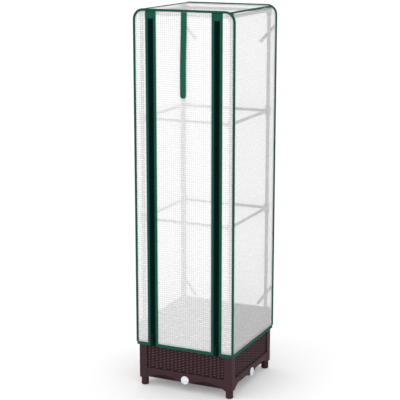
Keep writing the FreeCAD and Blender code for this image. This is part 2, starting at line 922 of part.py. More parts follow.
def zip_slider(label, side):
    body = new_body(label)
    centre = s.zip_offset * side
    edge = s.slider_width / 2
    lip = edge - s.slider_lip_width
    web = s.slider_web / 2
    slot = s.slider_slot / 2
    face = slot + s.slider_plate
    lip_face = s.slider_lip_gap / 2
    quarter = [(web, slot), (lip, slot), (lip, lip_face), (edge, lip_face), (edge, face)]
    front_right = list(reversed(quarter))
    rear_right = [(x, -y) for x, y in quarter]
    rear_left = [(-x, -y) for x, y in front_right]
    front_left = [(-x, y) for x, y in quarter]
    outline = front_right + rear_right + rear_left + front_left
    plates = new_sketch(body, "XY_Plane", s.slider_bottom)
    draw(plates, [(centre + x, -cover_half - y) for x, y in outline])
    pad(plates, s.slider_length)

    lug_start = s.pull_eye_width / 2 + s.door_gap
    lugs = new_sketch(body, "XZ_Plane", cover_half + face - OVERLAP)
    for hand in (-1, 1):
        near = centre + lug_start * hand
        far = centre + (lug_start + s.lug_thickness) * hand
        rectangle(lugs, near, far, pin_height - s.lug_height / 2, pin_height + s.lug_height / 2)
    pad(lugs, s.lug_reach - face + OVERLAP)
    pin_half = lug_start + s.lug_thickness / 2
    pin = new_sketch(body, "YZ_Plane", centre - pin_half)
    circle(pin, -pin_distance, pin_height, s.pull_pin_diameter)
    pad(pin, pin_half * 2)


def zip_pull(label, side):
    body = new_body(label)
    centre = s.zip_offset * side
    eye_half = s.pull_eye_width / 2
    eye = new_sketch(body, "YZ_Plane", centre - eye_half)
    circle(eye, -pin_distance, pin_height, s.pull_eye_diameter)
    circle(eye, -pin_distance, pin_height, s.pull_eye_hole)
    pad(eye, s.pull_eye_width)
    back = pin_distance - s.pull_thickness / 2
    neck_top = pin_height - (s.pull_eye_diameter + s.pull_eye_hole) / 4
    neck = new_sketch(body, "XZ_Plane", back)
    rectangle(neck, centre - eye_half, centre + eye_half, pin_height - s.pull_neck - OVERLAP, neck_top)
    pad(neck, s.pull_thickness)
    tab_half = s.pull_width / 2
    tab_bottom = pin_height - s.pull_length
    tab = new_sketch(body, "XZ_Plane", back)
    rectangle(tab, centre - tab_half, centre + tab_half, tab_bottom, pin_height - s.pull_neck)
    pad(tab, s.pull_thickness)


for name, side in (("left", -1), ("right", 1)):
    zip_slider(f"{name}_zip_slider", side)
    zip_pull(f"{name}_zip_pull", side)

# Straps that tie the rolled door, one outside and one inside, and ties at the rear uprights


def roll_strap(label, distance):
    body = new_body(label)
    strap_half = s.strap_width / 2
    top = panel_top - s.strap_gap
    shoulder = s.strap_bottom + s.strap_end_radius
    tip = strap_half - s.strap_end_radius
    sketch = new_sketch(body, "XZ_Plane", distance - s.strap_thickness / 2)
    draw(
        sketch,
        [
            (-strap_half, top),
            (-strap_half, shoulder),
            (-tip, s.strap_bottom),
            (tip, s.strap_bottom),
            (strap_half, shoulder),
            (strap_half, top),
        ],
        arcs={1: (s.strap_end_radius, 1), 3: (s.strap_end_radius, 1)},
    )
    pad(sketch, s.strap_thickness)


strap_offset = s.strap_stand_off + s.strap_thickness / 2
roll_strap("outer_roll_strap", cover_half + strap_offset)
roll_strap("inner_roll_strap", cover_half - strap_offset)


def corner_tie(label, side, height, drop):
    """A flat tie sewn into a rear corner seam, lying down and inwards on the rear wall."""
    body = new_body(label)
    length = square_root(s.tie_run * s.tie_run + drop * drop)
    half_across = s.tie_width / 2 * drop / length
    half_up = s.tie_width / 2 * s.tie_run / length
    half_seam = s.tie_width / 2 * length / s.tie_run
    end_x = panel_edge - s.tie_run
    end_z = height - drop
    corners = [
        (panel_edge, height + half_seam),
        (panel_edge, height - half_seam),
        (end_x + half_across, end_z - half_up),
        (end_x - half_across, end_z + half_up),
    ]
    sketch = new_sketch(body, "XZ_Plane", sheet_half - cover_half)
    draw(sketch, [(x * side, z) for x, z in corners])
    pad(sketch, s.tie_thickness)


for name, side in (("left", -1), ("right", 1)):
    corner_tie(f"upper_{name}_tie", side, s.upper_tie_height, s.upper_tie_drop)
    corner_tie(f"lower_{name}_tie", side, s.lower_tie_height, s.lower_tie_drop)

# Every object is checked, then every sub-part is written under its own label

doc.recompute()
for item in doc.Objects:
    if "Invalid" in item.State or "Error" in item.State:
        raise RuntimeError(f"{item.Label} did not build: {item.State}")
for body in sub_parts:
    if body.Shape.isNull() or not body.Shape.isValid():
        raise RuntimeError(f"{body.Label} has no valid shape")

os.makedirs("parts", exist_ok=True)
for body in sub_parts:
    body.Shape.exportStep(f"parts/{body.Label}.step")
print(f"{len(sub_parts)} sub-parts written")
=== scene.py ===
# %% [markdown]
# # Covered planter box
# The object is a square moulded planter with a woven-look wall, four tubes that stand in its
# corner posts, and a tall cover of see-through sheet whose edges are bound in green tape.
# The CAD model is loaded first and stays fixed. Every new piece is put where its solid is,
# rides on the same body, and hides the solid that it stands for.

# %% Load the frame
import bmesh
import bpy
import math
from mathutils import Matrix, Vector, noise


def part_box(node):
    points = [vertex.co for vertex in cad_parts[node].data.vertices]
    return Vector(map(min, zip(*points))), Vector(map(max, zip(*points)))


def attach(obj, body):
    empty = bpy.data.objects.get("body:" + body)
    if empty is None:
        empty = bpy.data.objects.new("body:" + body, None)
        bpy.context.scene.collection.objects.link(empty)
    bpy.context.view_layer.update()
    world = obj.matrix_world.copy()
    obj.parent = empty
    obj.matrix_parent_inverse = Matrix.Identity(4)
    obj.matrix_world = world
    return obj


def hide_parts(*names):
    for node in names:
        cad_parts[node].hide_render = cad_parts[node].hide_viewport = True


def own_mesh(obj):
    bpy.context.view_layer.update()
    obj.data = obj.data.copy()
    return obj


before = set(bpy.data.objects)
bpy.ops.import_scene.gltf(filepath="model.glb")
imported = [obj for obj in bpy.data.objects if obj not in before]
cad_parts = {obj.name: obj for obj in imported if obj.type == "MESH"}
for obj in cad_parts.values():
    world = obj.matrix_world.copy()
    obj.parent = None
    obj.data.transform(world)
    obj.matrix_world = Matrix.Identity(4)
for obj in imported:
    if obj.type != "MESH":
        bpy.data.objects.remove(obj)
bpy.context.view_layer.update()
scene = bpy.context.scene

# %% [markdown]
# ## The camera
# The picture was taken from the front and a little to the right, from above the cover's top,
# with a long lens. A long lens keeps the box's edges nearly parallel. The camera is turned
# down by its pitch and has no lens shift, so other views stay centred on the object.

# %% Camera
PICTURE_WIDTH = 400
SENSOR_WIDTH = 36.0
FOCAL_LENGTH_IN_PIXELS = 1245.4
CAMERA_PLACE = Vector((1.9132, -4.1896, 1.7606))
CAMERA_TURN = math.radians(24.841)
CAMERA_PITCH = math.radians(12.91)
QUARTER_TURN = math.pi / 2


def place_object(name, data):
    """Puts a new object with this data into the scene."""
    made = bpy.data.objects.new(name, data)
    scene.collection.objects.link(made)
    return made


camera_data = bpy.data.cameras.new("front_right_camera")
camera_data.sensor_width = SENSOR_WIDTH
camera_data.lens = FOCAL_LENGTH_IN_PIXELS * SENSOR_WIDTH / PICTURE_WIDTH
camera = place_object("front_right_camera", camera_data)
camera.location = CAMERA_PLACE
camera.rotation_euler = (QUARTER_TURN - CAMERA_PITCH, 0, CAMERA_TURN)
scene.camera = camera
print("lens in mm:", round(camera_data.lens, 1))

# %% [markdown]
# ## Places taken from the solids
# All sizes below are metres. They are read from the boxes of the CAD nodes, so a change in
# the solids moves the pieces with them. Only sizes that no box shows are written as numbers.

# %% Places
post_low, post_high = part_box("front_left_post")
panel_low, panel_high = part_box("front_panel")
edge_low, edge_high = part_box("front_edge_binding")
door_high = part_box("door_sheet")[1]
hem_low, hem_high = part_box("hem_binding")
plug_low, plug_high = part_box("front_drain_plug")

HALF_PLANTER = -post_low.x
POST_INNER = -post_high.x
PLANTER_TOP = post_high.z
BEAD = edge_high.y - edge_low.y
COVER_HALF = edge_high.x - BEAD / 2
ROOF_LEVEL = edge_high.z - BEAD / 2
PANEL_EDGE = COVER_HALF - BEAD / 2
PANEL_TOP = door_high.z
HEM_BOTTOM = hem_low.z
HEM_TOP = hem_high.z
SHOULDER_RADIUS = 0.035
ROOF_SEAM_TILT = math.radians(30)
SHOULDER_X = COVER_HALF - SHOULDER_RADIUS
SHOULDER_Z = ROOF_LEVEL - SHOULDER_RADIUS
DRAIN_HEIGHT = (plug_low.z + plug_high.z) / 2
places = {"cover half": COVER_HALF, "hem top": HEM_TOP, "panel top": PANEL_TOP}
print({label: round(value, 4) for label, value in places.items()})

# %% [markdown]
# ## Helpers for shader nodes
# A material is a small tree of nodes. These helpers add a node, give it its settings, and
# either link a socket or set its value, so a finish reads as a short list of steps.

# %% Node helpers


def add_node(tree, kind, settings=None, inputs=None):
    made = tree.nodes.new(kind)
    for name, value in (settings or {}).items():
        setattr(made, name, value)
    for name, value in (inputs or {}).items():
        if isinstance(value, bpy.types.NodeSocket):
            tree.links.new(value, made.inputs[name])
        else:
            made.inputs[name].default_value = value
    return made


def calculate(tree, operation, *values):
    """A chain link of arithmetic; values are numbers or sockets."""
    return add_node(
        tree, "ShaderNodeMath", {"operation": operation}, dict(enumerate(values))
    ).outputs[0]


def mix_colours(tree, share, first, second):
    made = add_node(tree, "ShaderNodeMix", {"data_type": "RGBA"}, {0: share, 6: first, 7: second})
    return made.outputs[2]


def new_group(name, inputs, outputs):
    """A node group with named sockets; returns its tree and its two end nodes."""
    tree = bpy.data.node_groups.new(name, "ShaderNodeTree")
    for label, (kind, value) in inputs.items():
        socket = tree.interface.new_socket(label, in_out="INPUT", socket_type=f"NodeSocket{kind}")
        socket.default_value = value
    for label, kind in outputs.items():
        tree.interface.new_socket(label, in_out="OUTPUT", socket_type=f"NodeSocket{kind}")
    return tree, tree.nodes.new("NodeGroupInput").outputs, tree.nodes.new("NodeGroupOutput").inputs


def place_group(tree, group, inputs):
    return add_node(tree, "ShaderNodeGroup", {"node_tree": group}, inputs).outputs


PLAIN_SHINE = 0.5


def new_finish(name, roughness, shine=PLAIN_SHINE):
    """A material with one Principled shader; returns it, its tree and the shader's sockets."""
    material = bpy.data.materials.new(name)
    material.use_nodes = True
    shader = material.node_tree.nodes["Principled BSDF"].inputs
    shader["Roughness"].default_value = roughness
    shader["Specular IOR Level"].default_value = shine
    return material, material.node_tree, shader


def link(tree, output, socket):
    tree.links.new(output, socket)


def link_bump(tree, height, normal, strength, distance):
    bump = add_node(
        tree, "ShaderNodeBump", inputs={"Height": height, "Strength": strength, "Distance": distance}
    )
    tree.links.new(bump.outputs["Normal"], normal)


print("node helpers ready")

# %% [markdown]
# ## Shared effects
# Four effects come back in several finishes: an uneven tone, the ribs of woven tape, the
# rows of stitches along a tape's edges, and the grid of threads inside the sheet. Each is a
# group, built once. Tapes and sheets carry a UV map in metres, across and along, so their
# patterns follow them round corners and have their real size.

# %% Group: uneven tone
GRAINS_PER_METRE = 900.0
SPOT_DETAIL = 4.0
GRAIN_DETAIL = 2.0
ROUGHNESS_SWING = 0.4


def soft_noise(tree, place, scale, detail):
    """Smooth noise between 0 and 1."""
    values = {"Vector": place, "Scale": scale, "Detail": detail}
    return add_node(tree, "ShaderNodeTexNoise", inputs=values).outputs[0]


def lightened(tree, colour, factor):
    """A colour made lighter or darker by a factor."""
    values = {"Color": colour, "Value": factor}
    return add_node(tree, "ShaderNodeHueSaturation", inputs=values).outputs[0]


tone_group, tone_in, tone_out = new_group(
    "uneven_tone",
    {
        "Colour": ("Color", (0.5, 0.5, 0.5, 1)),
        "Spots per metre": ("Float", 30.0),
        "Amount": ("Float", 0.2),
        "Roughness": ("Float", 0.5),
    },
    {"Colour": "Color", "Roughness": "Float", "Grain": "Float"},
)
tone_place = add_node(tone_group, "ShaderNodeTexCoord").outputs["Object"]
tone_spots = soft_noise(tone_group, tone_place, tone_in["Spots per metre"], SPOT_DETAIL)
tone_middle = calculate(tone_group, "SUBTRACT", tone_spots, 0.5)
tone_swing = calculate(tone_group, "MULTIPLY", tone_middle, tone_in["Amount"])
tone_factor = calculate(tone_group, "ADD", tone_swing, 1.0)
tone_colour = lightened(tone_group, tone_in["Colour"], tone_factor)
tone_rough = calculate(tone_group, "MULTIPLY_ADD", tone_swing, ROUGHNESS_SWING, tone_in["Roughness"])
tone_grain = soft_noise(tone_group, tone_place, GRAINS_PER_METRE, GRAIN_DETAIL)
link(tone_group, tone_colour, tone_out["Colour"])
link(tone_group, tone_rough, tone_out["Roughness"])
link(tone_group, tone_grain, tone_out["Grain"])
print("group:", tone_group.name)

# %% Group: woven ribs
RIB_SHARE = 0.7


def place_on_tape(tree):
    """Metres across and along a tape or sheet, from its UV map."""
    uv_map = add_node(tree, "ShaderNodeUVMap").outputs[0]
    return add_node(tree, "ShaderNodeSeparateXYZ", inputs={0: uv_map}).outputs


def wave(tree, place, count_per_metre):
    """A smooth wave between 0 and 1 along a place in metres."""
    turns = calculate(tree, "MULTIPLY", place, count_per_metre)
    angle = calculate(tree, "MULTIPLY", turns, 2 * math.pi)
    return calculate(tree, "MULTIPLY_ADD", calculate(tree, "SINE", angle), 0.5, 0.5)


rib_group, rib_in, rib_out = new_group(
    "woven_ribs",
    {"Ribs per metre": ("Float", 900.0), "Yarns per metre": ("Float", 600.0)},
    {"Height": "Float"},
)
rib_place = place_on_tape(rib_group)
rib_along = wave(rib_group, rib_place[1], rib_in["Ribs per metre"])
rib_across = wave(rib_group, rib_place[0], rib_in["Yarns per metre"])
rib_height = calculate(rib_group, "MULTIPLY", rib_across, 1 - RIB_SHARE)
rib_height = calculate(rib_group, "MULTIPLY_ADD", rib_along, RIB_SHARE, rib_height)
link(rib_group, rib_height, rib_out["Height"])
print("group:", rib_group.name)

# %% Group: stitch rows
THREAD_HALF = 0.0004
DASH_STARTS = 0.35
stitch_group, stitch_in, stitch_out = new_group(
    "stitch_rows",
    {
        "Tape width": ("Float", 0.012),
        "Inset": ("Float", 0.002),
        "Stitches per metre": ("Float", 280.0),
    },
    {"Mask": "Float"},
)
stitch_place = place_on_tape(stitch_group)
from_middle = calculate(stitch_group, "ABSOLUTE", stitch_place[0])
half_tape = calculate(stitch_group, "MULTIPLY", stitch_in["Tape width"], 0.5)
row_place = calculate(stitch_group, "SUBTRACT", half_tape, stitch_in["Inset"])
past_row = calculate(stitch_group, "SUBTRACT", from_middle, row_place)
off_row = calculate(stitch_group, "ABSOLUTE", past_row)
on_row = calculate(stitch_group, "LESS_THAN", off_row, THREAD_HALF)
dashes = wave(stitch_group, stitch_place[1], stitch_in["Stitches per metre"])
on_dash = calculate(stitch_group, "GREATER_THAN", dashes, DASH_STARTS)
link(stitch_group, calculate(stitch_group, "MULTIPLY", on_row, on_dash), stitch_out["Mask"])
print("group:", stitch_group.name)

# %% Group: sheet threads
UNEVEN_ALONG = 70
UNEVEN_ACROSS = 140
UNEVEN_SWING = 3.0
UNEVEN_START = -0.7
UPRIGHT_STRENGTH = 0.75
thread_group, thread_in, thread_out = new_group(
    "sheet_threads",
    {"Threads per metre": ("Float", 125.0), "Sharpness": ("Float", 3.0)},
    {"Mask": "Float"},
)
thread_place = add_node(thread_group, "ShaderNodeUVMap").outputs[0]
thread_uv = add_node(thread_group, "ShaderNodeSeparateXYZ", inputs={0: thread_place})


def thread_row(axis):
    """Threads in a row along one axis of the flat cut, as soft-edged lines."""
    rows = wave(thread_group, thread_uv.outputs[axis], thread_in["Threads per metre"])
    return calculate(thread_group, "POWER", rows, thread_in["Sharpness"])


thread_stretch = add_node(
    thread_group, "ShaderNodeVectorMath", {"operation": "MULTIPLY"},
    {0: thread_place, 1: (UNEVEN_ALONG, UNEVEN_ACROSS, 0)},
).outputs[0]
thread_noise = soft_noise(thread_group, thread_stretch, 1.0, 1.0)
uneven = calculate(thread_group, "MULTIPLY_ADD", thread_noise, UNEVEN_SWING, UNEVEN_START)
uneven = calculate(thread_group, "MAXIMUM", uneven, 0.0)
upright_threads = calculate(thread_group, "MULTIPLY", thread_row(0), UPRIGHT_STRENGTH)
level_threads = calculate(thread_group, "MULTIPLY", thread_row(1), uneven)
threads = calculate(thread_group, "MAXIMUM", upright_threads, level_threads)
link(thread_group, threads, thread_out["Mask"])
print("group:", thread_group.name)

# %% [markdown]
# ## Finishes of the hard pieces
# Moulded plastic has a soft sheen and a slightly uneven tone. The woven wall is the same
# plastic; its colour carries painted shade between its strands and a painted highlight on
# their crests, and follows an attribute that says how far a point stands out of the wall.

# %% Plastic, tube and metal finishes
BROWN = (0.056, 0.0275, 0.032, 1)
# The tray is the brown plastic darkened: painted shade under the apron's arches.
SHADED_TRAY_BROWN = (0.034, 0.0165, 0.019, 1)
# Woven wall: a painted highlight colour for the strands' crests and a painted shade colour between
# them.
STRAND_HIGHLIGHT = (0.1, 0.06, 0.065, 1)
STRAND_SHADE = (0.033, 0.015, 0.018, 1)
CREST_SHARPNESS = 1.8
PLAIN_RELIEF = 0.53
GREY_TUBE = (0.065, 0.065, 0.068, 1)
GREY_JOINT = (0.045, 0.045, 0.048, 1)
BLACK = (0.009, 0.0085, 0.0085, 1)
WHITE = (0.85, 0.88, 0.89, 1)
LACQUER = (0.002, 0.009, 0.0075, 1)
SHEEN = 0.5
DULL = 0.06
GRAIN_DEPTH = 0.0003


def place_tone(tree, shader, colour, roughness, amount, spots):
    """Makes a colour and a roughness uneven; links the roughness and returns the sockets."""
    values = {"Colour": colour, "Roughness": roughness, "Amount": amount, "Spots per metre": spots}
    tone = place_group(tree, tone_group, values)
    link(tree, tone["Roughness"], shader["Roughness"])
    return tone


def link_tone(tree, shader, colour, roughness, amount, spots, grain):
    tone = place_tone(tree, shader, colour, roughness, amount, spots)
    link(tree, tone["Colour"], shader["Base Color"])
    link_bump(tree, tone["Grain"], shader["Normal"], grain, GRAIN_DEPTH)


def toned_finish(name, colour, roughness, amount, spots=30.0, grain=0.12, shine=PLAIN_SHINE):
    material, tree, shader = new_finish(name, roughness, shine)
    link_tone(tree, shader, colour, roughness, amount, spots, grain)
    return material


brown_plastic = toned_finish("brown_plastic", BROWN, SHEEN, 0.3, shine=DULL)
# Painted shade: the tray's finish is darker to stand for the shade under the arches.
shaded_tray_plastic = toned_finish("shaded_tray_plastic", SHADED_TRAY_BROWN, SHEEN, 0.3, shine=DULL)
black_plastic = toned_finish("black_plastic", BLACK, SHEEN, 0.3)
coated_tube = toned_finish("coated_tube", GREY_TUBE, 0.42, 0.2, spots=12.0, grain=0.05)
grey_joint = toned_finish("grey_joint", GREY_JOINT, 0.48, 0.25)
white_plastic = toned_finish("white_plastic", WHITE, 0.35, 0.08)
dark_metal = toned_finish("dark_metal", LACQUER, 0.45, 0.3, grain=0.05, shine=0.1)

woven_brown, tree, shader = new_finish("woven_brown", SHEEN, DULL)
relief = add_node(tree, "ShaderNodeAttribute", {"attribute_name": "relief"}).outputs["Fac"]
# Painted shade between the strands and a painted highlight on their crests, mixed by how far a point
# stands out.
highlight_share = calculate(tree, "POWER", relief, CREST_SHARPNESS)
painted_strand_shading = mix_colours(tree, highlight_share, STRAND_SHADE, STRAND_HIGHLIGHT)
link_tone(tree, shader, painted_strand_shading, SHEEN, amount=0.35, spots=60.0, grain=0.15)
print("hard finishes:", len(bpy.data.materials))

# %% [markdown]
# ## Finishes of the soft pieces
# The cover's sheet is thin film with a grid of strong threads inside. Film lets a part of
# the view through and the threads let less through, so the grid drives the sheet's alpha.
# The walls and the roof are clear and smooth. The door and the strips beside it are hazier,
# with stronger threads.
# Each sheet has two faces, and the share of each is the square root of what both let through.
# Tapes are woven ribbon: ribs in the bump and as painted shade in their troughs, an uneven dye, and
# stitch rows in lighter thread.

# %% Sheet finishes
FRONT_ALPHA = 0.39
FRONT_THREADS = 0.34
WALL_ALPHA = 0.285
WALL_THREADS = 0.18
SHADE_SHARE = 0.2
FILM_ROUGHNESS = 0.32
FILM_SHINE = 0.3
THREAD_BUMP = 0.06
THREAD_DEPTH = 0.0004
FILM_COLOUR = (0.97, 0.968, 0.971, 1)
THREAD_COLOUR = (0.92, 0.918, 0.921, 1)


def sheet_finish(name, film_alpha, thread_share):
    """Film with threads; light that goes through to what is inside meets less of it."""
    material, tree, shader = new_finish(name, FILM_ROUGHNESS, FILM_SHINE)
    threads = place_group(tree, thread_group, {})["Mask"]
    woven = mix_colours(tree, threads, FILM_COLOUR, THREAD_COLOUR)
    tone = place_tone(tree, shader, woven, FILM_ROUGHNESS, amount=0.05, spots=9.0)
    link(tree, tone["Colour"], shader["Base Color"])
    path = add_node(tree, "ShaderNodeLightPath").outputs
    unseen = calculate(tree, "MAXIMUM", path["Is Shadow Ray"], path["Is Diffuse Ray"])
    cover = calculate(tree, "MULTIPLY_ADD", threads, thread_share, film_alpha)
    thinned = calculate(tree, "MULTIPLY_ADD", unseen, SHADE_SHARE - 1, 1.0)
    link(tree, calculate(tree, "MULTIPLY", cover, thinned), shader["Alpha"])
    link_bump(tree, threads, shader["Normal"], THREAD_BUMP, THREAD_DEPTH)
    return material


wall_film = sheet_finish("wall_film", WALL_ALPHA, WALL_THREADS)
front_film = sheet_finish("front_film", FRONT_ALPHA, FRONT_THREADS)
print("films:", wall_film.name, front_film.name)

# %% Tape and ribbon finishes
RIB_SHADE = 0.25
RIB_VALUE = 0.8
RIB_BUMP = 0.3
RIB_DEPTH = 0.0005


def tape_finish(name, colour, stitch_colour, width, roughness=0.6, shine=0.08):
    material, tree, shader = new_finish(name, roughness, shine)
    ribs = place_group(tree, rib_group, {})["Height"]
    stitches = place_group(tree, stitch_group, {"Tape width": width})["Mask"]
    tone = place_tone(tree, shader, colour, roughness, amount=0.35, spots=45.0)
    # Painted shade: the tape's colour is darker in the troughs between the ribs.
    shade = calculate(tree, "MULTIPLY_ADD", ribs, RIB_SHADE, RIB_VALUE)
    rib_shaded_colour = lightened(tree, tone["Colour"], shade)
    link(tree, mix_colours(tree, stitches, rib_shaded_colour, stitch_colour), shader["Base Color"])
    link_bump(tree, calculate(tree, "ADD", ribs, stitches), shader["Normal"], RIB_BUMP, RIB_DEPTH)
    return material


GREEN = (0.0095, 0.09, 0.058, 1)
GREEN_STITCH = (0.03, 0.16, 0.11, 1)
STRAP_GREEN = (0.011, 0.12, 0.079, 1)
ZIP_GREEN = (0.0012, 0.013, 0.011, 1)
ZIP_STITCH = (0.003, 0.02, 0.017, 1)
TOOTH_GREEN = (0.001, 0.01, 0.0085, 1)
PALE_GREY = (0.08, 0.083, 0.082, 1)
PALE_STITCH = (0.15, 0.155, 0.153, 1)
HEM_WIDTH = 0.012
STRAP_WIDTH = 0.022
ZIP_WIDTH = 0.011
TIE_WIDTH = 0.0106

bead_tape = tape_finish("bead_tape", GREEN, GREEN_STITCH, BEAD)
hem_tape = tape_finish("hem_tape", GREEN, GREEN_STITCH, HEM_WIDTH)
strap_tape = tape_finish("strap_tape", STRAP_GREEN, GREEN_STITCH, STRAP_WIDTH)
zip_tape = tape_finish("zip_tape", ZIP_GREEN, ZIP_STITCH, ZIP_WIDTH, roughness=0.8, shine=0.015)
tie_ribbon = tape_finish("tie_ribbon", PALE_GREY, PALE_STITCH, TIE_WIDTH)
zip_teeth = toned_finish("zip_teeth", TOOTH_GREEN, 0.6, 0.3, shine=0.03)
print("all finishes:", len(bpy.data.materials))

# %% [markdown]
# ## Helpers for pieces
# A piece is modelled in a bmesh, turned into an object at the origin, and then dressed: it
# gets the body that it rides on, the solids that it stands for and its material slot.

# %% Piece helpers
SHARP_ANGLE = math.radians(38)


def mesh_of(name, maker):
    """Turns a bmesh into a mesh and frees it."""
    mesh = bpy.data.meshes.new(name)
    maker.to_mesh(mesh)
    maker.free()
    return mesh


def finish_piece(name, maker, material, body, nodes):
    mesh = mesh_of(name, maker)
    mesh.materials.append(material)
    mesh.polygons.foreach_set("use_smooth", [True] * len(mesh.polygons))
    mesh.set_sharp_from_angle(angle=SHARP_ANGLE)
    piece = place_object(name, mesh)
    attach(piece, body)
    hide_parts(*nodes)
    return piece


def vertices_of(geometry):
    return [part for part in geometry if isinstance(part, bmesh.types.BMVert)]


def with_edges_and_faces(verts):
    edges = {edge for vert in verts for edge in vert.link_edges}
    faces = {face for vert in verts for face in vert.link_faces}
    return [*verts, *edges, *faces]


def round_edges(maker, edges, radius, segments=2):
    """Bevels some edges; returns the vertices of the rounds."""
    return bmesh.ops.bevel(
        maker, geom=edges, offset=radius, offset_type="OFFSET", segments=segments,
        profile=0.5, affect="EDGES", material=-1,
    )["verts"]


def add_block(maker, low, high, bevel=0.0, segments=2):
    """A box between two corners, with its edges rounded; returns its vertices."""
    low, high = Vector(low), Vector(high)
    size = high - low
    made = bmesh.ops.create_cube(maker, size=1.0)["verts"]
    bmesh.ops.scale(maker, vec=size, verts=made)
    bmesh.ops.translate(maker, vec=(low + high) / 2, verts=made)
    if bevel:
        edges = list({edge for vert in made for edge in vert.link_edges})
        rounded = round_edges(maker, edges, bevel, segments)
        made = list(set(rounded) | {v for v in made if v.is_valid})
    return made


def repeat(maker, geometry, step, count):
    """Adds copies of some geometry in a row; returns all of it."""
    everything = list(geometry)
    for number in range(1, count):
        copy = bmesh.ops.duplicate(maker, geom=list(geometry))["geom"]
        bmesh.ops.translate(maker, vec=Vector(step) * number, verts=vertices_of(copy))
        everything.extend(copy)
    return everything


def turn(maker, angle, axis):
    """Turns all of a bmesh about an axis through the origin."""
    matrix = Matrix.Rotation(angle, 3, axis)
    bmesh.ops.rotate(maker, cent=(0, 0, 0), matrix=matrix, verts=maker.verts)


def turned(maker, quarter_turns):
    """A copy of a bmesh, turned about the planter's upright middle axis."""
    copy = maker.copy()
    turn(copy, quarter_turns * QUARTER_TURN, "Z")
    return copy


SIDES = ("front", "right", "rear", "left")
print("piece helpers ready")

# %% [markdown]
# ## Woven wall panels
# The real panel is one moulding that imitates woven strands: each column is a row of short
# humps, and every other column is shifted by half a hump. It could be a bump map, but the
# humps stand out by three millimetres and show at the outline, so one hump is modelled as a
# small pillow and repeated. The same relief shows on the inside above the tray. The flat
# apron below has two shallow arches and a drain hole, and a plain rim runs along the top.

# %% One hump, a column, and the weave
WEAVE_COLUMNS = 20
HUMPS_PER_COLUMN = 15
WEAVE_BOTTOM = 0.073
WEAVE_TOP = 0.236
WEAVE_RISE = 0.0036
WEAVE_RECESS = 0.007
PLATE_THICKNESS = 0.004
HUMP_FILLS_ACROSS = 0.92
HUMP_FILLS_UP = 0.86
ROUND_ACROSS = 0.75
BLUNT_UP = 2.2
WEAVE_FLOOR = HALF_PLANTER - WEAVE_RECESS
PLATE_BACK = WEAVE_FLOOR - PLATE_THICKNESS
PANEL_FACE = -panel_low.y
COLUMN = 2 * POST_INNER / WEAVE_COLUMNS
HUMP = (WEAVE_TOP - WEAVE_BOTTOM) / (HUMPS_PER_COLUMN + 0.5)


def add_hump(maker, relief_layer, distance, outward, rise):
    """A pillow of one over-strand, at the bottom left of the weave."""
    made = bmesh.ops.create_grid(maker, x_segments=6, y_segments=4, size=0.5)["verts"]
    for vert in made:
        across, up = 2 * vert.co.x, 2 * vert.co.y
        bulge = (1 - across**2) ** ROUND_ACROSS * (1 - abs(up) ** BLUNT_UP) ** 0.5
        vert[relief_layer] = bulge
        vert.co = (
            vert.co.x * COLUMN * HUMP_FILLS_ACROSS,
            -(distance + outward * bulge * rise),
            vert.co.y * HUMP * HUMP_FILLS_UP,
        )
    edges = {edge for vert in made for edge in vert.link_edges}
    bmesh.ops.holes_fill(maker, edges=[edge for edge in edges if edge.is_boundary], sides=0)
    faces = list({face for vert in made for face in vert.link_faces})
    bmesh.ops.recalc_face_normals(maker, faces=faces)
    bmesh.ops.translate(
        maker, vec=(COLUMN / 2 - POST_INNER, 0, WEAVE_BOTTOM + HUMP / 2), verts=made
    )
    return with_edges_and_faces(made)


def add_weave(maker, relief_layer, distance, outward, rise, rows_from=0):
    for shift in (0, 1):
        hump = add_hump(maker, relief_layer, distance, outward, rise)
        start = Vector((COLUMN * shift, 0, HUMP * (rows_from + shift / 2)))
        bmesh.ops.translate(maker, vec=start, verts=vertices_of(hump))
        column = repeat(maker, hump, (0, 0, HUMP), HUMPS_PER_COLUMN - rows_from)
        repeat(maker, column, (2 * COLUMN, 0, 0), WEAVE_COLUMNS // 2)


print("humps in a panel:", WEAVE_COLUMNS * HUMPS_PER_COLUMN)

# %% The apron with its arches and drain hole
ARCH_INNER = 0.025
ARCH_OUTER = 0.151
ARCH_RISE = 0.0145
APRON_BOTTOM = 0.037
APRON_END_BOTTOM = panel_low.z
APRON_ROUND = 0.0008
CORNER_TURN = 1.2
DRAIN_HOLE = 0.013
DRILL_LENGTH = 0.1
DRILL_SEGMENTS = 40


def apron_edge(x):
    """Height of the apron's lower edge at a place along the panel."""
    along = abs(x)
    if along > ARCH_OUTER:
        share = (along - ARCH_OUTER) / (POST_INNER - ARCH_OUTER)
        return APRON_BOTTOM + (APRON_END_BOTTOM - APRON_BOTTOM) * share
    if along < ARCH_INNER:
        return APRON_BOTTOM
    half = (ARCH_OUTER - ARCH_INNER) / 2
    off_middle = (along - ARCH_INNER - half) / half
    return APRON_BOTTOM + ARCH_RISE * (1 - off_middle**2)


def drilled(block, x, z, diameter):
    """Cuts a round hole from front to back through a bmesh, uses it up and returns the mesh."""
    cutter = bmesh.new()
    bmesh.ops.create_cone(
        cutter, cap_ends=True, segments=DRILL_SEGMENTS, radius1=diameter / 2, radius2=diameter / 2,
        depth=DRILL_LENGTH,
    )
    turn(cutter, QUARTER_TURN, "X")
    bmesh.ops.translate(cutter, vec=(x, -WEAVE_FLOOR, z), verts=cutter.verts)
    blank = place_object("apron_blank", mesh_of("apron_blank", block))
    drill = place_object("drain_drill", mesh_of("drain_drill", cutter))
    cut = blank.modifiers.new("drain", "BOOLEAN")
    cut.object = drill
    cut.solver = "EXACT"
    view = bpy.context.evaluated_depsgraph_get()
    mesh = bpy.data.meshes.new_from_object(blank.evaluated_get(view))
    for thing in (blank, drill):
        bpy.data.objects.remove(thing)
    return mesh


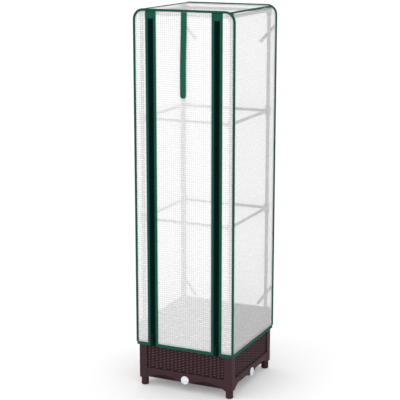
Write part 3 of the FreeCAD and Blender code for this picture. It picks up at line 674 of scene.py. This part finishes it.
apron = bmesh.new()
apron_strip = bmesh.ops.create_grid(apron, x_segments=56, y_segments=2, size=0.5)["verts"]
for vert in apron_strip:
    x = vert.co.x * 2 * POST_INNER
    low_edge = apron_edge(x)
    vert.co = (x, -PLATE_BACK, low_edge + (vert.co.y + 0.5) * (WEAVE_BOTTOM - low_edge))
grown = bmesh.ops.extrude_face_region(apron, geom=apron.faces[:])["geom"]
bmesh.ops.translate(apron, vec=(0, PLATE_BACK - PANEL_FACE, 0), verts=vertices_of(grown))
bmesh.ops.recalc_face_normals(apron, faces=apron.faces)
corners = [edge for edge in apron.edges if edge.calc_face_angle(0) > CORNER_TURN]
outline = [e for e in corners if min(v.co.y for v in e.verts) < -PANEL_FACE + 1e-5]
round_edges(apron, outline, APRON_ROUND)
apron_mesh = drilled(apron, 0, DRAIN_HEIGHT, DRAIN_HOLE)
print("apron faces:", len(apron_mesh.polygons))

# %% Four panels
INNER_ROWS_FROM = 3
INNER_RISE = 0.0016
TONGUE_END = panel_high.x
TONGUE_BELOW = 0.009
TONGUE_GAP = 0.0004
RIM_ROUND = 0.0012
LEDGE_TOP = 0.1
LEDGE_EDGE = -panel_high.y
LEDGE_THICKNESS = 0.003
LEDGE_ROUND = 0.0008
LEDGE_END_GAP = 0.001
LEDGE_SINK = 0.0005
HUMP_SINK = 0.0002

panel = bmesh.new()
panel.from_mesh(apron_mesh)
relief_layer = panel.verts.layers.float.new("relief")
bpy.data.meshes.remove(apron_mesh)
rim_low = (-POST_INNER, -PANEL_FACE, WEAVE_TOP)
rim_high = (POST_INNER, -PLATE_BACK, PLANTER_TOP)
add_block(panel, rim_low, rim_high, RIM_ROUND)
for vert in panel.verts:
    vert[relief_layer] = PLAIN_RELIEF
plate_low = (-TONGUE_END, -WEAVE_FLOOR, WEAVE_BOTTOM - TONGUE_BELOW)
plate_high = (TONGUE_END, -PLATE_BACK, PLANTER_TOP - TONGUE_GAP)
add_block(panel, plate_low, plate_high)
ledge_half = POST_INNER - LEDGE_END_GAP
ledge_low = (-ledge_half, -PLATE_BACK - LEDGE_SINK, LEDGE_TOP - LEDGE_THICKNESS)
add_block(panel, ledge_low, (ledge_half, -LEDGE_EDGE, LEDGE_TOP), LEDGE_ROUND)
add_weave(panel, relief_layer, WEAVE_FLOOR - HUMP_SINK, 1, WEAVE_RISE)
add_weave(panel, relief_layer, PLATE_BACK + HUMP_SINK, -1, INNER_RISE, INNER_ROWS_FROM)
for number, side in enumerate(SIDES):
    finish_piece(
        f"{side}_woven_wall", turned(panel, number), woven_brown,
        "planter", [f"{side}_panel"],
    )
print("faces in a panel:", len(panel.faces))
panel.free()

# %% [markdown]
# ## Drain plugs
# Each plug is a turned shape: a dished cap with a rounded rim, a grip bar across the dish and
# a stem that closes the hole. Its profile is a chain of a few points, spun a full turn.

# %% Four plugs
PLUG_SEGMENTS = 40
GRIP_RISE = 0.003
GRIP_SINK = 0.0025
GRIP_HALF_LENGTH = 0.0105
GRIP_HALF_WIDTH = 0.0018
GRIP_ROUND = 0.0008
STEM_RADIUS = 0.0064
STEM_CHAMFER = 0.001
BACK_CHAMFER = (0.0006, 0.0008)
CAP_ROUND = 0.0012
RIM_WIDTH = 0.0028
DISH_EDGE = 0.0042
DISH_DEPTH = 0.0016
DISH_MIDDLE = 0.0018
plug_radius = (plug_high.z - plug_low.z) / 2
plug_face = -plug_low.y
cap_face = plug_face - GRIP_RISE
plug_profile = [
    (0.0, -plug_high.y),
    (STEM_RADIUS - STEM_CHAMFER, -plug_high.y),
    (STEM_RADIUS, -plug_high.y + STEM_CHAMFER),
    (STEM_RADIUS, PANEL_FACE),
    (plug_radius - BACK_CHAMFER[0], PANEL_FACE),
    (plug_radius, PANEL_FACE + BACK_CHAMFER[1]),
    (plug_radius, cap_face - CAP_ROUND),
    (plug_radius - CAP_ROUND, cap_face),
    (plug_radius - RIM_WIDTH, cap_face),
    (plug_radius - DISH_EDGE, cap_face - DISH_DEPTH),
    (0.0, cap_face - DISH_MIDDLE),
]
plug = bmesh.new()
chain = [plug.verts.new((radius, -out, 0)) for radius, out in plug_profile]
rim_edges = [plug.edges.new(pair) for pair in zip(chain, chain[1:])]
bmesh.ops.spin(
    plug, geom=chain + rim_edges, cent=(0, 0, 0), axis=(0, 1, 0), angle=2 * math.pi,
    steps=PLUG_SEGMENTS, use_merge=True,
)
bmesh.ops.remove_doubles(plug, verts=plug.verts, dist=1e-6)
bmesh.ops.recalc_face_normals(plug, faces=plug.faces)
grip_low = (-GRIP_HALF_LENGTH, -plug_face, -GRIP_HALF_WIDTH)
grip_high = (GRIP_HALF_LENGTH, -cap_face + GRIP_SINK, GRIP_HALF_WIDTH)
add_block(plug, grip_low, grip_high, GRIP_ROUND)
bmesh.ops.translate(plug, vec=(0, 0, DRAIN_HEIGHT), verts=plug.verts)
for number, side in enumerate(SIDES):
    finish_piece(
        f"{side}_plug_cap", turned(plug, number), white_plastic,
        f"{side}_plug", [f"{side}_drain_plug"],
    )
plug.free()
print("plug segments:", PLUG_SEGMENTS)

# %% [markdown]
# ## Hard pieces kept from the CAD model
# Posts, tray, grate, tubes, joints, zip sliders and pulls have their right shape already, so
# they stay and only get their finishes.

# %% Finishes for the CAD nodes
KEPT_NODES = {
    brown_plastic: ["front_left_post", "front_right_post", "rear_right_post", "rear_left_post"],
    shaded_tray_plastic: ["base_tray"],
    black_plastic: ["soil_grate"],
    coated_tube: [
        "lower_uprights", "middle_uprights", "upper_uprights",
        "lower_rails", "middle_rails", "top_rails",
    ],
    grey_joint: ["lower_joints", "middle_joints", "top_joints"],
    dark_metal: ["left_zip_slider", "right_zip_slider", "left_zip_pull", "right_zip_pull"],
}
for material, names in KEPT_NODES.items():
    for name in names:
        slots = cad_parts[name].data.materials
        slots.clear()
        slots.append(material)
print("kept nodes:", sum(len(names) for names in KEPT_NODES.values()))

# %% [markdown]
# ## Cover sheets
# Each sheet is cut flat and held taut between its bound edges. A grid is laid over the sheet's
# outline, pushed out and in by less than a millimetre where film never lies quite flat, and
# given a UV map in metres for its threads. Solidify gives it its thickness. The side walls
# and the roof follow the rounded shoulders.

# %% Sheet helpers
SHEET_THICKNESS = 0.0004
RIPPLE = 0.0009
LONG_WAVES = (5, 3)
SHORT_WAVES = (14, 22)
SHORT_SHARE = 0.35
SHORT_SEED = 7.3
SIDE_HOLD = 8
END_HOLD = 12
CORNER_RADIUS = SHOULDER_RADIUS - BEAD / 2


def ripple(along, up, seed):
    """How far film stands off its plane: long soft waves, and shorter ones across the height."""
    long_wave = noise.noise(Vector((along * LONG_WAVES[0], up * LONG_WAVES[1], seed)))
    short_place = Vector((along * SHORT_WAVES[0], up * SHORT_WAVES[1], seed + SHORT_SEED))
    return RIPPLE * (long_wave + SHORT_SHARE * noise.noise(short_place))


def lay_flat(maker, place_of):
    """A UV map in metres; place_of gives a vertex's place across and along the flat piece."""
    uv_layer = maker.loops.layers.uv.new("UVMap")
    for face in maker.faces:
        for loop in face.loops:
            loop[uv_layer].uv = place_of(loop.vert)


def thicken(piece, name, thickness):
    """Gives a flat piece its thickness, half on each side."""
    layer = piece.modifiers.new(name, "SOLIDIFY")
    layer.thickness = thickness
    layer.offset = 0


def sheet_piece(name, node, body, film, columns, rows, shape):
    """A sheet whose shape(u, v) gives a point, the way out of it and the place on the flat cut."""
    maker = bmesh.new()
    bmesh.ops.create_grid(maker, x_segments=columns, y_segments=rows, size=0.5)
    flat_place = {}
    for vert in maker.verts:
        u, v = vert.co.x + 0.5, vert.co.y + 0.5
        point, outward, place = shape(u, v)
        hold = min(1.0, SIDE_HOLD * u * (1 - u)) * min(1.0, END_HOLD * v * (1 - v))
        vert.co = point + outward * ripple(place[0], place[1], len(name)) * hold
        flat_place[vert] = place
    lay_flat(maker, flat_place.get)
    piece = finish_piece(name, maker, film, body, [node])
    thicken(piece, "film", SHEET_THICKNESS)
    return piece


def outline_top(x):
    """Top of a front or rear sheet under the rounded shoulder."""
    past = abs(x) - (PANEL_EDGE - CORNER_RADIUS)
    if past <= 0:
        return PANEL_TOP
    return PANEL_TOP - CORNER_RADIUS + math.sqrt(max(0.0, CORNER_RADIUS**2 - past**2))


def upright_sheet(left, right, face):
    """Shape of a sheet that stands across the front (face -1) or the rear (face 1)."""

    def shape(u, v):
        x = left + (right - left) * u
        z = HEM_TOP + (outline_top(x) - HEM_TOP) * v
        return Vector((x, face * COVER_HALF, z)), Vector((0, face, 0)), (x, z)

    return shape


def over_shoulder(distance):
    """Point and outward way at a distance along the roof's outline, from its middle."""
    flat_part = SHOULDER_X
    arc_part = SHOULDER_RADIUS * QUARTER_TURN
    side = 1 if distance >= 0 else -1
    gone = abs(distance)
    if gone < flat_part:
        return Vector((side * gone, 0, ROOF_LEVEL)), Vector((0, 0, 1))
    angle = min(gone - flat_part, arc_part) / SHOULDER_RADIUS
    outward = Vector((side * math.sin(angle), 0, math.cos(angle)))
    down = max(0.0, gone - flat_part - arc_part)
    middle = Vector((side * SHOULDER_X, 0, SHOULDER_Z - down))
    return middle + outward * SHOULDER_RADIUS, outward


def wrapped_sheet(start, end):
    """Shape of a sheet that runs from front to rear and along the roof's outline."""

    def shape(u, v):
        distance = start + (end - start) * v
        point, outward = over_shoulder(distance)
        y = PANEL_EDGE * (2 * u - 1)
        return point + Vector((0, y, 0)), outward, (y, distance)

    return shape


print("sheet helpers ready")

# %% Seven sheets
HALF_SEAM = 0.003
seam_place = SHOULDER_X + SHOULDER_RADIUS * ROOF_SEAM_TILT
wall_end = SHOULDER_X + SHOULDER_RADIUS * QUARTER_TURN + SHOULDER_Z - HEM_TOP
strip_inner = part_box("cover_front_right_strip")[0].x
door_half = door_high.x

sheet_piece(
    "roof_film", "cover_roof", "planter", wall_film, 24, 30,
    wrapped_sheet(HALF_SEAM - seam_place, seam_place - HALF_SEAM),
)
for name, side in (("left", -1), ("right", 1)):
    sheet_piece(
        f"{name}_wall_film", f"cover_{name}_wall", "planter", wall_film, 24, 64,
        wrapped_sheet(side * wall_end, side * (seam_place + HALF_SEAM)),
    )
    sheet_piece(
        f"front_{name}_film", f"cover_front_{name}_strip", "planter", front_film, 12, 60,
        upright_sheet(side * strip_inner, side * PANEL_EDGE, -1),
    )
sheet_piece(
    "rear_wall_film", "cover_rear_wall", "planter", wall_film, 36, 60,
    upright_sheet(PANEL_EDGE, -PANEL_EDGE, 1),
)
door_film = sheet_piece(
    "door_film", "door_sheet", "door", front_film, 24, 90, upright_sheet(-door_half, door_half, -1),
)

# %% [markdown]
# ## Bound edges
# The front and rear outlines are piped: tape is folded over the joined sheet edges and sewn.
# A closed ring of points is the tape's section. It is pushed along the straight runs with
# extrude and carried round the two corners with spin, so the bead keeps one even section.

# %% Edge beads
BEAD_POINTS = 14
BEAD_SQUARENESS = 2.6
UPRIGHT_PIECES = 30
CORNER_PIECES = 12
TOP_PIECES = 10
SEAM_PIECES = 24
SEAM_SINK = 0.0003


def add_section(maker, centre, half):
    """A ring of vertices between a circle and a square, flat on the floor's plane."""
    ring = bmesh.ops.create_circle(maker, segments=BEAD_POINTS, radius=1.0)["verts"]
    for vert in ring:
        spread = abs(vert.co.x) ** BEAD_SQUARENESS + abs(vert.co.y) ** BEAD_SQUARENESS
        reach = spread ** (-1 / BEAD_SQUARENESS)
        vert.co = Vector(centre) + Vector((vert.co.x, vert.co.y, 0)) * reach * half
    return ring


def ring_edges(ring):
    inside = set(ring)
    return [e for e in {e for v in ring for e in v.link_edges} if all(v in inside for v in e.verts)]


def push(maker, ring, step, pieces):
    """Extrudes a ring along a straight run in equal pieces; returns the ring at its end."""
    for _ in range(pieces):
        grown = bmesh.ops.extrude_edge_only(maker, edges=ring_edges(ring))["geom"]
        ring = vertices_of(grown)
        bmesh.ops.translate(maker, vec=Vector(step) / pieces, verts=ring)
    return ring


def carry_round(maker, ring, centre, axis, angle, pieces):
    grown = bmesh.ops.spin(
        maker, geom=ring + ring_edges(ring), cent=centre, axis=axis, angle=angle,
        steps=pieces, use_merge=False,
    )["geom_last"]
    return vertices_of(grown)


def close_ends(maker):
    bmesh.ops.holes_fill(maker, edges=[e for e in maker.edges if e.is_boundary], sides=0)
    bmesh.ops.recalc_face_normals(maker, faces=maker.faces)


def edge_bead(name, face, node):
    maker = bmesh.new()
    y = face * COVER_HALF
    ring = add_section(maker, (-COVER_HALF, y, HEM_TOP), BEAD / 2)
    left_corner, right_corner = (-SHOULDER_X, y, SHOULDER_Z), (SHOULDER_X, y, SHOULDER_Z)
    ring = push(maker, ring, (0, 0, SHOULDER_Z - HEM_TOP), UPRIGHT_PIECES)
    ring = carry_round(maker, ring, left_corner, (0, 1, 0), QUARTER_TURN, CORNER_PIECES)
    ring = push(maker, ring, (2 * SHOULDER_X, 0, 0), TOP_PIECES)
    ring = carry_round(maker, ring, right_corner, (0, 1, 0), QUARTER_TURN, CORNER_PIECES)
    push(maker, ring, (0, 0, HEM_TOP - SHOULDER_Z), UPRIGHT_PIECES)
    close_ends(maker)
    lay_flat(maker, lambda v: (v.co.y - y, v.co.z + v.co.x))
    return finish_piece(name, maker, bead_tape, "planter", [node])


edge_bead("front_edge_piping", -1, "front_edge_binding")
edge_bead("rear_edge_piping", 1, "rear_edge_binding")


def shoulder_bead(name, side, node):
    """The bound seam that runs from front to rear along a shoulder."""
    maker = bmesh.new()
    ring = add_section(maker, (0, 0, -PANEL_EDGE), HALF_SEAM)
    push(maker, ring, (0, 0, 2 * PANEL_EDGE), SEAM_PIECES)
    close_ends(maker)
    lay_flat(maker, lambda v: (v.co.x, v.co.z))
    turn(maker, QUARTER_TURN, "X")
    turn(maker, side * ROOF_SEAM_TILT, "Y")
    out = SHOULDER_RADIUS + HALF_SEAM - SEAM_SINK
    lean = Vector((side * math.sin(ROOF_SEAM_TILT), 0, math.cos(ROOF_SEAM_TILT)))
    seat = Vector((side * SHOULDER_X, 0, SHOULDER_Z)) + lean * out
    bmesh.ops.translate(maker, vec=seat, verts=maker.verts)
    return finish_piece(name, maker, bead_tape, "planter", [node])


shoulder_bead("left_shoulder_piping", -1, "left_roof_binding")
shoulder_bead("right_shoulder_piping", 1, "right_roof_binding")
print("bead width in mm:", round(BEAD * 1000, 1))

# %% [markdown]
# ## Flat tapes
# The hem and the bindings beside the zips are flat folded tape: a thin slab with round edges,
# cut into short lengths so that it can wobble, and lean out a little at the hem.

# %% Tape helper
TAPE_ROUND = 0.42
TAPE_STEP = 0.03
TAPE_WOBBLE = 0.0004
WOBBLES_ALONG = 9
WOBBLE_SPREAD = 40
WOBBLE_SEED = 1.7


def tape_length(name, low, high, along, material, body, nodes, flare=None):
    """A flat tape between two corners; along is the axis number of its length."""
    maker = bmesh.new()
    low, high = Vector(low), Vector(high)
    size = high - low
    thin = min(range(3), key=lambda axis: size[axis])
    across = 3 - thin - along
    add_block(maker, low, high, size[thin] * TAPE_ROUND)
    cuts = max(2, int(size[along] / TAPE_STEP))
    for number in range(1, cuts):
        place = low.copy()
        place[along] += size[along] * number / cuts
        way = Vector((0, 0, 0))
        way[along] = 1
        geometry = maker.verts[:] + maker.edges[:] + maker.faces[:]
        bmesh.ops.bisect_plane(maker, geom=geometry, plane_co=place, plane_no=way)
    middle = (low + high) / 2
    for vert in maker.verts:
        place = (vert.co[along] * WOBBLES_ALONG, middle[thin] * WOBBLE_SPREAD, WOBBLE_SEED)
        vert.co[thin] += noise.noise(Vector(place)) * TAPE_WOBBLE
        if flare:
            vert.co[thin] += flare * (high.z - vert.co.z) / size.z
    lay_flat(maker, lambda v: (v.co[across] - middle[across], v.co[along]))
    return finish_piece(name, maker, material, body, nodes)


def node_tape(name, node, along, material, body, flare=None):
    low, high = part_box(node)
    return tape_length(name, low, high, along, material, body, [node], flare)


print("tape helper ready")

# %% Hem
HEM_FLARE = 0.0012
HEM_THICKNESS = 0.002
hem_outer = hem_high.x
hem_inner = hem_outer - HEM_THICKNESS
hem_strips = {
    "left": ((-hem_outer, -hem_outer), (-hem_inner, hem_outer), 1, -HEM_FLARE),
    "right": ((hem_inner, -hem_outer), (hem_outer, hem_outer), 1, HEM_FLARE),
    "rear": ((-hem_outer, hem_inner), (hem_outer, hem_outer), 0, HEM_FLARE),
    "front_left": ((-hem_outer, -hem_outer), (-strip_inner, -hem_inner), 0, -HEM_FLARE),
    "front_right": ((strip_inner, -hem_outer), (hem_outer, -hem_inner), 0, -HEM_FLARE),
}
for name, (low, high, along, flare) in hem_strips.items():
    tape_length(
        f"{name}_hem_tape", (*low, HEM_BOTTOM), (*high, HEM_TOP), along,
        hem_tape, "planter", ["hem_binding"], flare,
    )
node_tape("door_hem_tape", "door_hem", 0, hem_tape, "door", -HEM_FLARE)
print("hem strips:", len(hem_strips) + 1)

# %% [markdown]
# ## Zips
# Each zip has a dark tape and a row of teeth on both sides of a slit, with a green binding
# outside. The halves on the door ride on the door, so they are pieces of their own. The
# frame's tape closes the slit, and both rows of teeth meet in its middle, one row half a
# pitch higher than the other. The door's teeth start above the slider, which parts the rows.
# One tooth is a small rounded block with a few faces, repeated.

# %% Zip tapes, bindings and teeth
TOOTH_PITCH = 0.004
TOOTH_HEIGHT = 0.0019
TOOTH_WIDTH = 0.0036
TOOTH_GAP = 0.00003
TOOTH_ROUND = 0.0005
FIRST_TOOTH_LIFT = 0.001
TAPE_GAP = 0.0001
TAPE_HALF = 0.0006
zip_low, zip_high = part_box("right_zip_frame_tape")
zip_door_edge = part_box("right_zip_door_tape")[1].x
zip_slit = zip_low.x - zip_door_edge
zip_middle = (zip_low.x + zip_door_edge) / 2
slider_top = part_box("right_zip_slider")[1].z
TOOTH_COUNT = int((zip_high.z - zip_low.z) / TOOTH_PITCH) - 1
ROWS_UNDER = int((slider_top - zip_low.z) / TOOTH_PITCH)
door_pieces = [(door_film, HEM_TOP, PANEL_TOP)]


def zip_half(side, half):
    """Tape, binding and teeth on one side of a slit; the door's half rides on the door."""
    on_door = half == "door"
    body = "door" if on_door else "planter"
    tape_node = f"{side}_zip_{half}_tape"
    low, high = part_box(tape_node)
    teeth_depth = (high.y - low.y) / 2
    middle_y = (low.y + high.y) / 2
    slit_is_left = (side == "right") == (not on_door)
    tape_low = Vector((low.x, middle_y - TAPE_HALF, low.z))
    tape_high = Vector((high.x, middle_y + TAPE_HALF, high.z))
    if not on_door:
        tape_low.x -= slit_is_left * (zip_slit - TAPE_GAP)
        tape_high.x += (not slit_is_left) * (zip_slit - TAPE_GAP)
    tape = tape_length(
        f"{side}_zip_{half}_cloth", tape_low, tape_high, 2, zip_tape, body, [tape_node]
    )
    binding = node_tape(
        f"{side}_zip_{half}_edge", f"{side}_zip_{half}_binding", 2, hem_tape, body
    )
    slit_middle = zip_middle if side == "right" else -zip_middle
    tooth_left = slit_middle + TOOTH_GAP if slit_is_left else slit_middle - TOOTH_GAP - TOOTH_WIDTH
    first_row = ROWS_UNDER + 0.5 if on_door else 0
    tooth_bottom = low.z + FIRST_TOOTH_LIFT + first_row * TOOTH_PITCH
    maker = bmesh.new()
    first = add_block(
        maker,
        (tooth_left, middle_y - teeth_depth, tooth_bottom),
        (tooth_left + TOOTH_WIDTH, middle_y + teeth_depth, tooth_bottom + TOOTH_HEIGHT),
        TOOTH_ROUND, segments=1,
    )
    repeat(maker, with_edges_and_faces(first), (0, 0, TOOTH_PITCH), TOOTH_COUNT - int(first_row))
    teeth = finish_piece(f"{side}_zip_{half}_teeth", maker, zip_teeth, body, [tape_node])
    if on_door:
        for piece, bottom in ((tape, low.z), (binding, low.z), (teeth, slider_top)):
            door_pieces.append((piece, bottom, high.z))


for side in ("left", "right"):
    zip_half(side, "frame")
    zip_half(side, "door")
    node_tape(f"{side}_zip_end_patch", f"{side}_zip_top_patch", 0, hem_tape, "planter")
print("teeth in a row:", TOOTH_COUNT)

# %% [markdown]
# ## Straps and ties
# The roll strap is a ribbon sewn under the top seam, one on each face of the door. It hangs
# nearly straight with a rounded end. Four pale ties lie on the rear wall, each sewn into a
# corner seam, with a slight curl so that they read as ribbon.

# %% Roll straps
STRAP_LEAN = 0.004
STRAP_BOW = 0.0018
STRAP_TIP = 0.36
TIP_ROUND = 0.7
STRAP_SWAY = 0.0008
SWAY_TURN = 5
SWAY_MIDDLE = 0.4
STRAP_CROWN = 0.00025
STRAP_SUBSTANCE = 0.8


def roll_strap(name, node, body, lean, bow):
    """A ribbon that hangs from its top edge, sways sideways and bows away from the door."""
    low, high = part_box(node)
    width, length = high.x - low.x, high.z - low.z
    maker = bmesh.new()
    bmesh.ops.create_grid(maker, x_segments=8, y_segments=48, size=0.5)
    tip = width * STRAP_TIP
    for vert in maker.verts:
        across, up = vert.co.x * 2, vert.co.y + 0.5
        z = low.z + up * length
        into_tip = max(0.0, 1 - up * length / tip)
        narrow = math.sqrt(1 - into_tip**2 * TIP_ROUND)
        sway = lean * (up - SWAY_MIDDLE) - STRAP_SWAY * math.sin(up * SWAY_TURN)
        curl = STRAP_CROWN * (1 - across**2) + bow * math.sin(math.pi * up)
        vert.co = (across * width / 2 * narrow + sway, (low.y + high.y) / 2 - curl, z)
    lay_flat(maker, lambda v: (v.co.x, v.co.z))
    strap = finish_piece(name, maker, strap_tape, body, [node])
    thicken(strap, "tape", (high.y - low.y) * STRAP_SUBSTANCE)


roll_strap("outer_strap_ribbon", "outer_roll_strap", "outer_strap", STRAP_LEAN, STRAP_BOW)
roll_strap("inner_strap_ribbon", "inner_roll_strap", "inner_strap", 0.0, 0.0)
print("strap lean and bow in mm:", STRAP_LEAN * 1000, STRAP_BOW * 1000)

# %% Corner ties
TIE_RUN = 0.058
TIE_TOP_GAP = 0.006
TIE_END_GAP = 0.003
TIE_CURL = 0.0012
CURL_TURN = 7
TIE_INSET = 0.0006
TIE_THICKNESS = 0.0006


def corner_tie(name, node, side):
    low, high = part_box(node)
    top, bottom = high.z - TIE_TOP_GAP, low.z + TIE_END_GAP
    maker = bmesh.new()
    bmesh.ops.create_grid(maker, x_segments=4, y_segments=24, size=0.5)
    run = Vector((-side * TIE_RUN, 0, bottom - top))
    across_way = Vector((run.z, 0, -run.x)).normalized()
    start = Vector((side * PANEL_EDGE, (low.y + high.y) / 2 - TIE_INSET, top))
    for vert in maker.verts:
        across, gone = vert.co.x * TIE_WIDTH, 0.5 - vert.co.y
        curl = TIE_CURL * math.sin(gone * CURL_TURN) * gone
        vert.co = start + run * gone + across_way * across + Vector((0, -abs(curl), 0))
    lay_flat(maker, lambda v: ((v.co - start).dot(across_way), v.co.z))
    tie = finish_piece(name, maker, tie_ribbon, "planter", [node])
    thicken(tie, "ribbon", TIE_THICKNESS)


for level in ("upper", "lower"):
    for name, side in (("left", -1), ("right", 1)):
        corner_tie(f"{level}_{name}_ribbon", f"{level}_{name}_tie", side)
print("straps and ties made")

# %% [markdown]
# ## Door pieces
# On the real cover the door is rolled up and tied. Here its sheet, zip halves and bindings are
# listed with their lower and upper ends, and each gets a mesh of its own.

# %% Door pieces with meshes of their own
for piece, bottom, top in door_pieces:
    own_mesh(piece)

# %% [markdown]
# ## Floor and light
# A pale floor takes the soft shadow. It is a little brighter to the camera than to the light,
# so that the background comes out white without more light on the object. One large soft
# lamp stands far off in front to the left, so the floor is lit evenly, and the sky does the rest.

# %% Floor and sky
FLOOR_REACH = 60.0
FLOOR_LIFT = 0.18
FLOOR_ROUGHNESS = 0.9
FLOOR_GREY = (0.86, 0.86, 0.86, 1)
SKY_LIGHT = 0.97
PURE_WHITE = (1, 1, 1, 1)


def seen_rays(tree):
    """1 for rays that show the background: straight, mirrored or through something clear."""
    path = add_node(tree, "ShaderNodeLightPath").outputs
    seen = calculate(tree, "MAXIMUM", path["Is Camera Ray"], path["Is Glossy Ray"])
    return calculate(tree, "MAXIMUM", seen, path["Is Transmission Ray"])


floor_maker = bmesh.new()
bmesh.ops.create_grid(floor_maker, x_segments=1, y_segments=1, size=FLOOR_REACH)
floor = place_object("studio_floor", mesh_of("studio_floor", floor_maker))
floor_finish, tree, shader = new_finish("studio_floor", FLOOR_ROUGHNESS)
shader["Base Color"].default_value = FLOOR_GREY
shader["Emission Color"].default_value = PURE_WHITE
floor_lift = calculate(tree, "MULTIPLY", seen_rays(tree), FLOOR_LIFT)
link(tree, floor_lift, shader["Emission Strength"])
floor.data.materials.append(floor_finish)

world = bpy.data.worlds.new("studio_sky")
scene.world = world
world.use_nodes = True
sky = world.node_tree
sky_strength = calculate(sky, "MULTIPLY_ADD", seen_rays(sky), 1 - SKY_LIGHT, SKY_LIGHT)
backdrop = sky.nodes["Background"]
backdrop.inputs["Color"].default_value = PURE_WHITE
link(sky, sky_strength, backdrop.inputs["Strength"])
print("floor reach:", FLOOR_REACH, "sky light:", SKY_LIGHT)

# %% Lamp
LAMP_DISTANCE = 4
LAMP_SOFTNESS = math.radians(50)
LAMP_STRENGTH = 0.45
LAMP_WAY = Vector((-0.35, -0.8, 0.5))

lamp_data = bpy.data.lights.new("front_lamp", "SUN")
lamp_data.angle = LAMP_SOFTNESS
lamp_data.energy = LAMP_STRENGTH
lamp = place_object("front_lamp", lamp_data)
lamp.location = LAMP_WAY * LAMP_DISTANCE
lamp.rotation_euler = LAMP_WAY.to_track_quat("Z", "Y").to_euler()
scene.view_settings.view_transform = "Standard"
